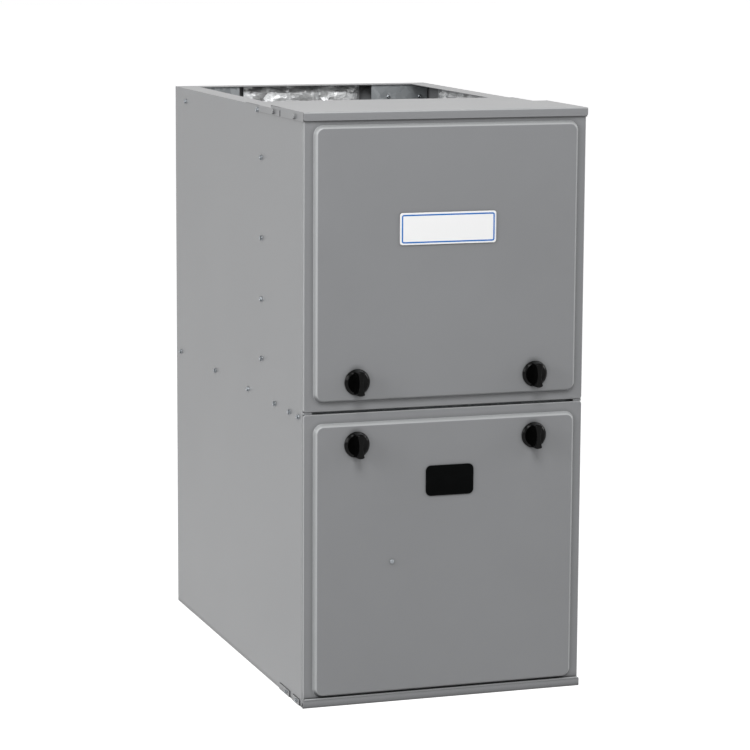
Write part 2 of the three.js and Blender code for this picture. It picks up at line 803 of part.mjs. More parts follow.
function couplingSection(inset) {
  const [front, back] = [cellRear + gap - (inset ? 1 : 0), cellRear + couplingDepth - inset];
  const [low, top] = [secondaryFloor + inset, cellLower + couplingReach - inset];
  const radius = couplingCorner - inset;
  const shape = new THREE.Shape();
  shape.moveTo(front, low);
  shape.lineTo(back - radius, low);
  shape.absarc(back - radius, low + radius, radius, -Math.PI / 2, 0, false);
  shape.lineTo(back, top - radius);
  shape.absarc(back - radius, top - radius, radius, 0, Math.PI / 2, false);
  shape.lineTo(front, top);
  return shape;
}

// The secondary exchanger: end sheets and a core whose fins stand across the tubes.
function secondaryExchanger() {
  const [front, back] = [cellFront, cellRear];
  const [low, high] = [secondaryFloor + finReach, secondaryTop - finReach];
  const bottom = [];
  const top = [];
  const fins = Math.floor((back - front - 2 * finPitch) / finPitch);
  const start = front + (back - front - (fins - 1) * finPitch) / 2;
  for (let i = 0; i < fins; i += 1) {
    const y = start + i * finPitch;
    bottom.push([y, low], [y, secondaryFloor], [y + finThick, secondaryFloor], [y + finThick, low]);
    top.unshift([y + finThick, high], [y + finThick, secondaryTop], [y, secondaryTop], [y, high]);
  }
  const ends = [front, front + finThick, back - finThick, back];
  const shape = new THREE.Shape([
    [ends[0], secondaryFloor], [ends[1], secondaryFloor], [ends[1], low], ...bottom,
    [ends[2], low], [ends[2], secondaryFloor], [ends[3], secondaryFloor],
    [ends[3], secondaryTop], [ends[2], secondaryTop], [ends[2], high], ...top,
    [ends[1], high], [ends[1], secondaryTop], [ends[0], secondaryTop],
  ].map(([y, z]) => new THREE.Vector2(y, z)));
  return extrude('x', shape, -secondaryHalf, secondaryHalf);
}

// ---------------------------------------------------------------- supply opening

const linerTop = casingTop - sheet - gap;

function rearLiner() {
  const [front, back] = [rearInner - gap - insulation, rearInner - gap];
  return block(-linerHalf, linerHalf, front, back, linerTop - linerLength, linerTop);
}

function sideLiner(side) {
  const [x0, x1] = span(side, fitHalf - insulation, fitHalf);
  return block(x0, x1, vestibuleRear + gap, sideLinerRear, linerTop - linerLength, linerTop);
}

function rearBaffle(side) {
  const face = rearInner - gap - baffleStandoff;
  const corners = [[side * baffleInner, face], [side * fitHalf, face],
    [side * fitHalf, rearInner - gap - 2 * bendRadius]];
  const section = bentSheet(side < 0 ? corners.reverse() : corners);
  return extrude('z', section, linerTop - linerLength, linerTop);
}

// ---------------------------------------------------------------- burners and gas train

const limitStem = 9;
const limitBelow = 96; // burners to the limit switch
const limitHeight = burnerHeight - limitBelow;

// An in-shot burner: bell mouth, throat, and a flared head that fires into a cell.
function burner(x) {
  const [f, r] = [burnerFront, burnerRear];
  const outer = [[burnerMouth, f], [burnerThroat + 2, f + 16], [burnerThroat, f + 26],
    [burnerThroat + 1, f + 54], [burnerHead, r - 34], [burnerHead, r]];
  const inner = outer.map(([radius, y]) => [radius - burnerWall, y]).reverse();
  const profile = outer.concat(inner, [outer[0]]);
  return revolve('y', profile, [x, 0, burnerHeight], burnerSides);
}

function burnerCarrier() {
  const half = (cellCount * cellPitch) / 2 + 8;
  const [low, high] = [burnerHeight - carrierTall / 2, burnerHeight + carrierTall / 2];
  const plan = bentSheet([
    [-half, burnerRear], [-half, carrierFace], [half, carrierFace], [half, burnerRear],
  ]);
  const body = extrude('z', plan, low, high);
  const holes = cellPlaces.map((x) => cylinder('y', carrierHole, carrierFace - 1,
    carrierFace + sheet + 1, [x, 0, burnerHeight], 12));
  return cut(body, holes);
}

const carrierHole = burnerThroat + 1 + gap;

function gasManifold() {
  const half = ((cellCount - 1) * cellPitch) / 2;
  const end = half + 34;
  const pipe = cylinder('x', manifoldRadius, -half - manifoldEnd, end,
    [0, manifoldBack, burnerHeight], 12);
  const straps = [-half - manifoldEnd, half + manifoldEnd - strapThick].map((x) => join(
    block(x, x + strapThick, manifoldBack, carrierFace - gap, burnerHeight - 9, burnerHeight + 9),
    block(x - 5, x + strapThick + 5, carrierFace - gap - 2, carrierFace - gap,
      burnerHeight - 16, burnerHeight + 16),
  ));
  const spuds = cellPlaces.map((x) => cylinder('y', spudRadius, manifoldBack,
    burnerFront + 4, [x, 0, burnerHeight], 8));
  const drop = cylinder('z', manifoldRadius, burnerHeight - valveDrop + gap,
    burnerHeight + manifoldRadius + 4, [end - 2, manifoldBack, 0], 12);
  const collar = cylinder('z', manifoldRadius + 4, burnerHeight - manifoldRadius - 3,
    burnerHeight + manifoldRadius + 3, [end - 2, manifoldBack, 0], 8);
  return join(pipe, spuds, straps, drop, collar);
}

const valveSide = ((cellCount - 1) * cellPitch) / 2 + 32;
const valveTop = burnerHeight - valveDrop;
const valveFront = manifoldBack - valveDeep / 2;

function gasValve() {
  const [x0, x1] = [valveSide - valveWide / 2, valveSide + valveWide / 2];
  const section = roundedRect(x0, x1, valveFront, valveFront + valveDeep, 8);
  const body = extrude('z', section, valveTop - valveTall, valveTop);
  const tower = cylinder('z', 13, valveTop - 1, valveTop + 12, [x0 + 18, manifoldBack, 0], 10);
  const inlet = cylinder('z', manifoldRadius + 5, valveTop - valveTall - 16,
    valveTop - valveTall + 1, [valveSide, manifoldBack, 0], 8);
  const port = cylinder('z', manifoldRadius, valveTop - valveTall - 17,
    valveTop - valveTall - 4, [valveSide, manifoldBack, 0], 12);
  const boss = cylinder('y', valveKnob + 2, valveFront - 4, valveFront + 2,
    [valveSide, 0, valveTop - valveTall / 2], 14);
  const seat = cylinder('y', 3 + gap, valveFront - 5, valveFront + 6,
    [valveSide, 0, valveTop - valveTall / 2], 8);
  return cut(join(body, tower, inlet, boss), port, seat);
}

function gasValveSwitch() {
  const up = valveTop - valveTall / 2;
  const back = valveFront - 4 - gap;
  const centre = [valveSide, 0, up];
  const cap = revolve('y', [[0, back - 12], [valveKnob - 2, back - 12], [valveKnob, back - 9],
    [valveKnob, back], [3, back], [3, back + 8], [0, back + 8]], centre, 14);
  const lever = block(valveSide - 2, valveSide + 2, back - 16, back - 10,
    up - valveKnob + 2, up + valveKnob + 5);
  return join(cap, lever);
}

function ignitor() {
  const x = cellPlaces[cellCount - 1] + cellPitch / 2 - 8;
  const y = carrierFace + sheet + gap;
  const base = block(x - 7, x + 7, y, y + 22, burnerHeight - 30, burnerHeight - 18);
  const blade = block(x - 2.5, x + 2.5, y + 16, y + 46, burnerHeight - 26, burnerHeight - 22);
  return join(base, blade);
}

function flameSensor() {
  const x = cellPlaces[0] - cellPitch / 2 + 6;
  const y = carrierFace + sheet + gap;
  const base = cylinder('y', 5, y, y + 18, [x, 0, burnerHeight - 16], 12);
  const rod = cylinder('y', 1.6, y + 10, y + 48, [x, 0, burnerHeight - 16], 8);
  return join(base, rod);
}

const rolloutSide = cellPlaces[1] + cellPitch / 2;
const rolloutHeight = burnerHeight + carrierTall / 2 - 14;

function rolloutSwitch() {
  const back = carrierFace - gap;
  const profile = [[3 + gap, back], [12, back], [12, back - 5], [8, back - 5], [8, back - 14],
    [3 + gap, back - 14], [3 + gap, back]];
  return revolve('y', profile, [rolloutSide, 0, rolloutHeight], 16);
}

function rolloutReset() {
  const back = carrierFace - gap;
  return cylinder('y', 3, back - 18, back - 4, [rolloutSide, 0, rolloutHeight], 12);
}

function limitSwitch() {
  const back = vestibuleFront - gap;
  const centre = [0, 0, limitHeight];
  const flange = cylinder('y', 16, back - 2, back, centre, 20);
  const body = cylinder('y', 12, back - 16, back - 1, centre, 20);
  const stem = cylinder('y', limitStem, back - 1, vestibuleRear + 22, centre, 16);
  return join(flange, body, stem);
}

// ---------------------------------------------------------------- inducer and condensate

// The collector is a tray against the vestibule panel, with a hole for the inducer's eye.
function collectorBox() {
  const back = vestibuleFront - gap;
  const front = back - collectorDeep;
  const tray = (inset, from, to) => extrude('y', roundedRect(
    -collectorHalf + inset, collectorHalf - inset, collectorFloor + inset,
    collectorFloor + collectorTall - inset, 10 - inset,
  ), from, to);
  const rim = tray(-collectorRim, back - collectorWall - 1, back);
  const hollow = tray(collectorWall, front + collectorWall, back + 1);
  const eye = cylinder('y', inducerEye, front - 1, front + collectorWall + 1, inducerCentre, 14);
  const drain = cylinder('y', hoseRadius - 2, inducerRear - drainNipple, front + 1,
    [drainSide, 0, drainHeight], 10);
  return join(cut(join(tray(0, front, back), rim), hollow, eye), drain);
}

const inducerFront = inducerRear - inducerDeep;
const inducerCentre = [inducerSide, 0, inducerHeight];

function inducerOutline(radius, reach) {
  const shape = new THREE.Shape();
  const [x, z] = [inducerSide, inducerHeight];
  const right = x + radius;
  const left = right - 2 * ventRadius - 8;
  shape.moveTo(right, z);
  shape.lineTo(right, z + reach);
  shape.lineTo(left, z + reach);
  const start = Math.acos((left - x) / radius);
  shape.lineTo(left, z + radius * Math.sin(start));
  shape.absarc(x, z, radius, start, 2 * Math.PI, false);
  return shape;
}

// The inducer's volute is hollow, open to the collector behind and to the vent above.
function inducerHousing() {
  const reach = inducerRadius + 14;
  const outer = extrude('y', inducerOutline(inducerRadius, reach), inducerFront, inducerRear, 8);
  const wall = inducerWall;
  const hollow = cylinder('y', inducerRadius - wall, inducerFront + wall, inducerRear - wall,
    inducerCentre, 20);
  const neckX = inducerSide + inducerRadius - ventRadius - 4;
  const neckY = (inducerFront + inducerRear) / 2;
  const neck = cylinder('z', inducerDeep / 2 - wall, inducerHeight, inducerHeight + reach + 1,
    [neckX, neckY, 0], 16);
  const eye = cylinder('y', inducerEye, inducerRear - wall - 1, inducerRear + 1, inducerCentre, 14);
  const shaftHole = cylinder('y', inducerShaft + 1, inducerFront - 1, inducerFront + wall + 1,
    inducerCentre, 10);
  const spout = ring('z', inducerDeep / 2 - wall, inducerDeep / 2, inducerHeight + reach - 1,
    inducerHeight + reach + 22, [neckX, neckY, 0], 16);
  return join(cut(outer, hollow, neck, eye, shaftHole), spout);
}

function inducerWheelPiece() {
  const [front, back] = [inducerFront + inducerWall + 6, inducerRear - inducerWall - 5];
  const plate = cylinder('y', inducerWheel, front, front + 2, inducerCentre, 20);
  const hub = cylinder('y', 9, front, back, inducerCentre, 10);
  const shaft = cylinder('y', inducerShaft, inducerFront - 22, back - 1, inducerCentre, 8);
  const blades = Array.from({ length: inducerBlades }, (_, i) => {
    const blade = new THREE.BoxGeometry(30, back - front - 2, 1.6);
    blade.translate(inducerWheel - 17, (front + back) / 2, 0);
    blade.rotateY((2 * Math.PI * i) / inducerBlades);
    blade.translate(inducerSide, 0, inducerHeight);
    return solid(blade);
  });
  return join(plate, hub, shaft, blades);
}

function inducerMotor() {
  const back = inducerFront - gap;
  const front = back - inducerMotorLength;
  const profile = [
    [0, front], [12, front], [12, front + 8], [inducerMotorRadius - 6, front + 8],
    [inducerMotorRadius, front + 16], [inducerMotorRadius, back - 10],
    [inducerMotorRadius - 8, back], [inducerShaft + shaftPlay, back],
    [inducerShaft + shaftPlay, back - 24], [0, back - 24],
  ];
  return revolve('y', profile, inducerCentre, 16);
}

const spoutTop = inducerHeight + inducerRadius + 36;
const ventSide = inducerSide + inducerRadius - ventRadius - 4;
const ventBack = (inducerFront + inducerRear) / 2;

function ventCoupling() {
  const sleeve = inducerDeep / 2 + gap;
  const low = spoutTop - 18;
  const profile = [
    [sleeve, low], [sleeve + 4, low], [sleeve + 4, low + 26], [ventRadius + 5, low + 36],
    [ventRadius + 5, low + ventLength], [ventRadius, low + ventLength],
    [ventRadius, low + 36], [sleeve, low + 26], [sleeve, low],
  ];
  return revolve('z', profile, [ventSide, ventBack, 0], 16);
}

const switchRadius = 30;
const pressureInset = 46; // side wall to the switch's axis
const pressureAbove = 110; // inducer's axis to the switch's axis
const pressureSide = -fitHalf + pressureInset;
const pressureHeight = inducerHeight + pressureAbove;
const pressureBack = vestibuleFront - gap;

function pressureSwitch() {
  const centre = [pressureSide, 0, pressureHeight];
  const profile = [[0, pressureBack], [switchRadius - 4, pressureBack],
    [switchRadius - 4, pressureBack - 6], [switchRadius, pressureBack - 8],
    [switchRadius, pressureBack - 14], [switchRadius - 8, pressureBack - 20],
    [8, pressureBack - 22], [8, pressureBack - 30], [3, pressureBack - 30],
    [3, pressureBack - 40], [0, pressureBack - 40]];
  return revolve('y', profile, centre, 14);
}

// The tube from the pressure switch's nipple round to the collector's front.
function pressureTube() {
  const nipple = pressureBack - 40 - 3 * gap;
  const port = inducerRear;
  const drop = collectorFloor + collectorTall - 24;
  return hose([
    [pressureSide, nipple, pressureHeight],
    [pressureSide, nipple - 14, pressureHeight - 1],
    [pressureSide - 2, nipple - 24, pressureHeight - 30],
    [pressureSide + 4, nipple - 22, (pressureHeight + drop) / 2],
    [pressureSide + 12, nipple - 20, drop + 24],
    [pressureSide + 28, nipple - 6, drop + 3],
    [pressureSide + 32, port - 8, drop],
    [pressureSide + 32, port, drop],
  ], 4, 6, 18);
}

const trapSide = -fitHalf + trapLid;
const trapRear = inducerRear - gap - 6;
const drainHeight = collectorFloor + 12;

function condensateTrap() {
  const floor = shelfTop + gap;
  const [x0, x1] = [trapSide, trapSide + trapWide];
  const section = roundedRect(x0, x1, trapRear - trapDeep, trapRear, 8);
  const cup = extrude('z', section, floor, floor + trapTall);
  const lid = extrude('z', roundedRect(x0 - trapLid, x1 + trapLid, trapRear - trapDeep - trapLid,
    trapRear + trapLid, 8 + trapLid), floor + trapTall - 6, floor + trapTall);
  const nipple = cylinder('x', hoseRadius - 2, x1 - 2, x1 + trapNipple,
    [0, trapRear - trapDeep / 2, floor + trapTall / 2], 10);
  return join(cup, lid, nipple);
}

// The drain from the collector's lowest corner to the trap's side.
function drainTube() {
  const start = inducerRear - drainNipple - gap;
  const end = trapSide + trapWide + trapNipple + gap;
  const [y, z] = [trapRear - trapDeep / 2, shelfTop + gap + trapTall / 2];
  return hose([
    [drainSide, start, drainHeight], [drainSide, start - 8, drainHeight],
    [drainSide - 8, y + 2, drainHeight + 3], [end + 12, y, z], [end, y, z],
  ], hoseRadius, 8, 14);
}

// ---------------------------------------------------------------- blower

// The scroll's outline in (y, z): a spiral from the cut-off round to the rear, then up.
function scrollShape(offset, top) {
  const points = [];
  const [from, to] = [125, 360];
  const steps = 16;
  for (let k = 0; k <= steps; k += 1) {
    const angle = THREE.MathUtils.degToRad(THREE.MathUtils.lerp(from, to, k / steps));
    const radius = THREE.MathUtils.lerp(scrollStart, scrollEnd, k / steps) + offset;
    points.push(new THREE.Vector2(blowerBack + radius * Math.cos(angle),
      blowerHeight + radius * Math.sin(angle)));
  }
  points[0].x = outletFront - offset;
  points.push(new THREE.Vector2(outletRear + offset, top));
  points.push(new THREE.Vector2(outletFront - offset, top));
  return new THREE.Shape(points);
}

function blowerHousing() {
  const top = shelfUnder - gap;
  const outside = scrollHalf + scrollSheet;
  const shell = extrude('x', scrollShape(scrollSheet, top), -outside, outside);
  const hollow = extrude('x', scrollShape(0, top + 1), -scrollHalf, scrollHalf);
  const eyes = bothSides((side) => {
    const [x0, x1] = span(side, scrollHalf - 1, outside + 8);
    return cylinder('x', wheelInner, x0, x1, [0, blowerBack, blowerHeight], 20);
  });
  const collars = bothSides((side) => {
    const [x0, x1] = span(side, outside - 1, outside + 6);
    return ring('x', wheelInner, wheelInner + 4, x0, x1, [0, blowerBack, blowerHeight], 20);
  });
  const flanges = bothSides((side) => {
    const [x0, x1] = span(side, outside - 1, outside + blowerFlange);
    return block(x0, x1, outletFront, outletRear, top - scrollSheet, top);
  });
  return join(cut(join(shell, flanges), hollow, eyes), collars);
}

// A forward-curved blade as a strip between the wheel's inner and outer radius.
function bladeShape(turn) {
  const steps = 2;
  const line = [];
  for (let k = 0; k <= steps; k += 1) {
    const s = k / steps;
    const radius = THREE.MathUtils.lerp(wheelInner + 1, wheelRadius - 1, s);
    const angle = turn - 0.2 * s * s;
    line.push([radius, angle]);
  }
  const edge = (side) => line.map(([radius, angle]) => {
    const shifted = angle + (side * bladeThick) / 2 / radius;
    return new THREE.Vector2(blowerBack + radius * Math.cos(shifted),
      blowerHeight + radius * Math.sin(shifted));
  });
  return new THREE.Shape(edge(-1).concat(edge(1).reverse()));
}

function blowerWheel() {
  const centre = [0, blowerBack, blowerHeight];
  const sides = wheelBlades;
  const rims = bothSides((side) => {
    const [x0, x1] = span(side, wheelHalf - 7, wheelHalf);
    return ring('x', wheelInner, wheelRadius, x0, x1, centre, sides);
  });
  const disc = cylinder('x', wheelRadius, -1, 1, centre, sides);
  const hub = cylinder('x', 20, -14, 12, centre, 16);
  const bore = cylinder('x', shaftRadius + gap, -15, 13, centre, 16);
  const blades = Array.from({ length: wheelBlades }, (_, i) => {
    const turn = (2 * Math.PI * (i + 0.5)) / wheelBlades;
    return extrude('x', bladeShape(turn), -wheelHalf + 3, wheelHalf - 3);
  });
  return cut(join(disc, rims, blades, hub), bore);
}

function blowerShaft() {
  const end = motorStart + 40;
  return cylinder('x', shaftRadius, -24, end, [0, blowerBack, blowerHeight], 16);
}

function blowerMotor() {
  const bore = shaftRadius + shaftPlay;
  const [a, b] = [motorStart, motorStart + motorLength];
  const profile = [
    [bore, a], [24, a], [26, a + 6], [motorRadius - 10, a + 6], [motorRadius, a + 16],
    [motorRadius, b - 16], [motorRadius - 10, b - 4], [30, b - 4], [30, b], [0, b],
    [0, a + 44], [bore, a + 44], [bore, a],
  ];
  return revolve('x', profile, [0, blowerBack, blowerHeight], 16);
}

// The belly band round the motor and its three arms, which bolt to the housing's side.
function motorMount() {
  const centre = [0, blowerBack, blowerHeight];
  const plane = scrollHalf + scrollSheet + 6 + gap;
  const band = ring('x', motorRadius + gap, motorRadius + gap + 2, plane - bandWide + armThick,
    plane + armThick, centre, 16);
  const arms = [90, 210, 330].map((degrees) => {
    const reach = wheelInner + 22;
    const root = motorRadius + gap + 1;
    const arm = new THREE.BoxGeometry(armThick, reach - root, armWide);
    arm.translate(plane + armThick / 2, (reach + root) / 2, 0);
    const seat = scrollHalf + scrollSheet + gap;
    const foot = new THREE.BoxGeometry(plane + 1 - seat, 14, armWide);
    foot.translate((plane + 1 + seat) / 2, reach - 7, 0);
    return [arm, foot].map((geometry) => {
      geometry.rotateX(THREE.MathUtils.degToRad(degrees));
      geometry.translate(0, blowerBack, blowerHeight);
      return solid(geometry);
    });
  });
  return join(band, arms.flat());
}

// ---------------------------------------------------------------- controls

function controlTray() {
  const top = shelfUnder - gap;
  const section = bentSheet([
    [traySetback + 34, top], [traySetback, top], [traySetback, top - trayTall],
    [traySetback - 18, top - trayTall],
  ]);
  return extrude('x', section, -trayHalf, trayHalf);
}

const boardSide = windowSide;
const boardHeight = windowHeight + 6;

function controlBoard() {
  const [x0, x1] = [boardSide - boardWide / 2, boardSide + boardWide / 2];
  const [z0, z1] = [boardHeight - boardTall / 2, boardHeight + boardTall / 2];
  const face = trayFront;
  const card = block(x0, x1, face, face + boardThick, z0, z1);
  const relays = [0, 1, 2].map((i) => block(x0 + 10 + 24 * i, x0 + 28 + 24 * i,
    face - 16, face + 1, z1 - 34, z1 - 8));
  const strip = block(x1 - 66, x1 - 8, face - 12, face + 1, z0 + 6, z0 + 20);
  const chip = block(x0 + 50, x0 + 74, face - 3, face + 1, z0 + 40, z0 + 60);
  const plug = block(x0 + 4, x0 + 16, face - 14, face + 1, z0 + 14, z0 + 60);
  const cans = [0, 1].map((i) => cylinder('y', 6, face - 18, face + 1,
    [x1 - 18, 0, z1 - 18 - 20 * i], 12));
  const posts = [[x0 + 6, z0 + 6], [x1 - 6, z0 + 6], [x0 + 6, z1 - 4], [x1 - 6, z1 - 4]]
    .map(([x, z]) => cylinder('y', 3, face + 1, traySetback - gap, [x, 0, z], 8));
  return join(card, relays, strip, chip, plug, cans, posts);
}

function transformer() {
  const rear = traySetback - gap;
  const x = trayHalf - 26;
  const z = shelfUnder - trayTall + 30;
  const core = block(x - 24, x + 24, rear - 30, rear, z - 16, z + 16);
  const coil = extrude('z', roundedRect(x - 16, x + 16, rear - 40, rear - 2, 5), z - 24, z + 24);
  return join(core, coil);
}

const plungerHeight = shelfTop - switchBelow;
const switchFront = doorSetback + sheet + gap + switchTravel;
const plungerRadius = 3.2;
const switchCentre = [switchSide, 0, plungerHeight];

// The interlock switch snaps through the latch rail, with its flange against the rail's face.
function doorSwitch() {
  const square = (half, from, to) => block(switchSide - half, switchSide + half, from, to,
    plungerHeight - half, plungerHeight + half);
  const body = square(switchHalf, switchFront, railSetback + 22);
  const flange = square(switchHalf + 3, railSetback - gap - 2, railSetback - gap);
  const bore = cylinder('y', plungerRadius + gap, switchFront - 1, railSetback + 8,
    switchCentre, 12);
  return cut(join(body, flange), bore);
}

function doorSwitchPlunger() {
  return cylinder('y', plungerRadius, switchFront - switchTravel, railSetback + 1,
    switchCentre, 12);
}

// ---------------------------------------------------------------- finishes and assembly

function finish(colour, roughness, metalness) {
  return new THREE.MeshStandardMaterial({ color: colour, roughness, metalness });
}

const greyPaint = finish('#94989b', 0.5, 0.2);
const blackPlastic = finish('#101112', 0.25, 0);
const glass = finish('#0c0e0e', 0.1, 0);
const whitePlastic = finish('#e8eaec', 0.4, 0);
const steel = finish('#a9adb0', 0.4, 0.8);
const foil = finish('#d5d8da', 0.25, 0.9);
const exchangerSteel = finish('#8d8f8c', 0.35, 0.9);
const aluminium = finish('#b9bcbe', 0.35, 0.8);
const darkPlastic = finish('#26282a', 0.5, 0);
const rubber = finish('#2b2c2d', 0.8, 0);
const boardGreen = finish('#2d5a3c', 0.5, 0);
const resetRed = finish('#b02a20', 0.4, 0);

const pieces = [
  ['casing', casing, greyPaint],
  ['bottom_panel', bottomPanel, steel],
  ['bottom_sill', bottomSill, greyPaint],
  ['top_front_cap', topFrontCap, greyPaint],
  ['top_deck', topDeck, greyPaint],
  ['upper_door', upperDoor, greyPaint],
  ['lower_door', lowerDoor, greyPaint],
  ['knob_upper_left', () => knob(-1, upperKnobHeight), blackPlastic],
  ['knob_upper_right', () => knob(1, upperKnobHeight), blackPlastic],
  ['knob_lower_left', () => knob(-1, lowerKnobHeight), blackPlastic],
  ['knob_lower_right', () => knob(1, lowerKnobHeight), blackPlastic],
  ['sight_glass', sightGlass, glass],
  ['badge_plate', badgePlate, whitePlastic],
  ['blower_shelf', blowerShelf, steel],
  ['vestibule_panel', vestibulePanel, steel],
  ['heat_exchanger_cell_1', () => heatExchangerCell(cellPlaces[0]), exchangerSteel],
  ['heat_exchanger_cell_2', () => heatExchangerCell(cellPlaces[1]), exchangerSteel],
  ['heat_exchanger_cell_3', () => heatExchangerCell(cellPlaces[2]), exchangerSteel],
  ['heat_exchanger_cell_4', () => heatExchangerCell(cellPlaces[3]), exchangerSteel],
  ['rear_coupling_box', rearCouplingBox, exchangerSteel],
  ['secondary_heat_exchanger', secondaryExchanger, aluminium],
  ['insulation_rear', rearLiner, foil],
  ['insulation_left', () => sideLiner(-1), foil],
  ['insulation_right', () => sideLiner(1), foil],
  ['rear_baffle_left', () => rearBaffle(-1), steel],
  ['rear_baffle_right', () => rearBaffle(1), steel],
  ['burner_1', () => burner(cellPlaces[0]), steel],
  ['burner_2', () => burner(cellPlaces[1]), steel],
  ['burner_3', () => burner(cellPlaces[2]), steel],
  ['burner_4', () => burner(cellPlaces[3]), steel],
  ['burner_carrier', burnerCarrier, steel],
  ['gas_manifold', gasManifold, darkPlastic],
  ['gas_valve', gasValve, aluminium],
  ['gas_valve_switch', gasValveSwitch, blackPlastic],
  ['ignitor', ignitor, whitePlastic],
  ['flame_sensor', flameSensor, whitePlastic],
  ['rollout_switch', rolloutSwitch, darkPlastic],
  ['rollout_reset_button', rolloutReset, resetRed],
  ['limit_switch', limitSwitch, darkPlastic],
  ['collector_box', collectorBox, darkPlastic],
  ['inducer_housing', inducerHousing, darkPlastic],
  ['inducer_wheel', inducerWheelPiece, darkPlastic],
  ['inducer_motor', inducerMotor, steel],
  ['vent_coupling', ventCoupling, rubber],
  ['pressure_switch', pressureSwitch, darkPlastic],
  ['pressure_tube', pressureTube, rubber],
  ['condensate_trap', condensateTrap, darkPlastic],
  ['drain_tube', drainTube, rubber],
  ['blower_housing', blowerHousing, steel],
  ['blower_wheel', blowerWheel, steel],
  ['blower_shaft', blowerShaft, steel],
  ['blower_motor', blowerMotor, darkPlastic],
  ['motor_mount', motorMount, steel],
  ['control_tray', controlTray, steel],
  ['control_board', controlBoard, boardGreen],
  ['transformer', transformer, steel],
  ['door_switch', doorSwitch, darkPlastic],
  ['door_switch_plunger', doorSwitchPlunger, whitePlastic],
];

function meshOf(name, body, material) {
  const { vertProperties, triVerts } = body.getMesh();
  const geometry = new THREE.BufferGeometry();
  geometry.setAttribute('position', new THREE.BufferAttribute(vertProperties, 3));
  geometry.setIndex(new THREE.BufferAttribute(triVerts, 1));
  geometry.computeVertexNormals();
  const mesh = new THREE.Mesh(geometry, material.clone());
  mesh.name = name;
  return mesh;
}

const furnace = new THREE.Group();
for (const [name, make, material] of pieces) furnace.add(meshOf(name, make(), material));

const foremost = fieldFace - knobReach;
furnace.position.y = -(foremost + depth) / 2;

const model = new THREE.Group();
model.add(furnace);

export default model;
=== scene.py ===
# %% [markdown]
# # A forced-air gas furnace
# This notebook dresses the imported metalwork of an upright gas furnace: a grey enamelled
# cabinet with two pressed doors, four quarter-turn knobs and an open top. The packed
# model is the frame. Every piece made here either rides on one of its bodies or takes
# the place of one of its plain nodes, and nothing in the frame is moved.

# %% Load the frame
import math

import bmesh
import bpy
from mathutils import Matrix, Vector, noise


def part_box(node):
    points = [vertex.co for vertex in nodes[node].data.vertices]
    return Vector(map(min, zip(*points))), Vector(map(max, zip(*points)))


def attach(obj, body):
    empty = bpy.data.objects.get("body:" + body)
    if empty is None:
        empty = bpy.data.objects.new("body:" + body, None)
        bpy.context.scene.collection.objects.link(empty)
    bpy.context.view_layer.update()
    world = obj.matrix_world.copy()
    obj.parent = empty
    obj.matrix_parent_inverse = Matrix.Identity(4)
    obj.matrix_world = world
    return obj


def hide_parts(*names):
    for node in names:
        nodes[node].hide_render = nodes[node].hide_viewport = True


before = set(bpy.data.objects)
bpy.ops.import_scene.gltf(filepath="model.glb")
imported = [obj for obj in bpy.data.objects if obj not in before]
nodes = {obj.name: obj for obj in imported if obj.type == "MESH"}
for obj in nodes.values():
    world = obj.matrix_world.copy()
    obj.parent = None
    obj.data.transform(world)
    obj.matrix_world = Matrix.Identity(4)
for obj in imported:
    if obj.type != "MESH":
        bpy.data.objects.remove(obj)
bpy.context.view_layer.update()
MM = 0.001

# %% [markdown]
# ## Mesh helpers
# Sheet-metal pressings, turned knobs and screws are all skins through a row of closed
# outlines. One helper therefore joins rings of points with quads and closes both ends.
# A second helper marks the edges that should look crisp, because a pressed panel is
# smooth over its bends and sharp only where the sheet was cut.


# %% Helpers that build and place a mesh
def skin_of(rings):
    """A bmesh skin through rings that have the same number of points, with closed ends."""
    skin = bmesh.new()
    rows = [[skin.verts.new(point) for point in ring] for ring in rings]
    for lower, upper in zip(rows, rows[1:]):
        for k in range(len(lower)):
            after = (k + 1) % len(lower)
            skin.faces.new((lower[k], lower[after], upper[after], upper[k]))
    skin.faces.new(list(reversed(rows[0])))
    skin.faces.new(rows[-1])
    bmesh.ops.recalc_face_normals(skin, faces=skin.faces)
    return skin


def object_from(skin, name, crisp=32):
    """An object from a bmesh, smooth except over edges sharper than crisp degrees."""
    skin.normal_update()
    for face in skin.faces:
        face.smooth = True
    for edge in skin.edges:
        edge.smooth = len(edge.link_faces) == 2 and edge.calc_face_angle(3.2) < math.radians(crisp)
    mesh = bpy.data.meshes.new(name)
    skin.to_mesh(mesh)
    skin.free()
    piece = bpy.data.objects.new(name, mesh)
    bpy.context.scene.collection.objects.link(piece)
    return piece


def level_shading(piece):
    """Flat areas keep flat shading next to bends, as in a real pressing."""
    weighted = piece.modifiers.new("flat faces lead", "WEIGHTED_NORMAL")
    weighted.keep_sharp = True
    weighted.weight = 80
    return piece


def merge_into(target, source):
    """Copies the source bmesh into the target and frees the source."""
    mesh = bpy.data.meshes.new("joined part")
    source.to_mesh(mesh)
    source.free()
    target.from_mesh(mesh)
    bpy.data.meshes.remove(mesh)


def fit_piece(piece, body, finish):
    """Gives a piece its finish and lets it ride on a body of the frame."""
    piece.data.materials.clear()
    piece.data.materials.append(finish)
    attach(piece, body)
    return piece


def rounded_ring(left, right, low, high, radius, y, steps):
    """A rounded rectangle in the plane of the doors, at distance y."""
    corners = [(right - radius, low + radius, -90), (right - radius, high - radius, 0),
               (left + radius, high - radius, 90), (left + radius, low + radius, 180)]
    ring = []
    for x, z, start in corners:
        for k in range(steps + 1):
            turn = math.radians(start + 90 * k / steps)
            ring.append(Vector((x + radius * math.cos(turn), y, z + radius * math.sin(turn))))
    return ring


def block(low, high):
    """A bmesh box between two corners."""
    box = bmesh.new()
    bmesh.ops.create_cube(box, size=1)
    low, high = Vector(low), Vector(high)
    for vert in box.verts:
        vert.co = Vector(a + (b - a) * (c + 0.5) for a, b, c in zip(low, high, vert.co))
    return box


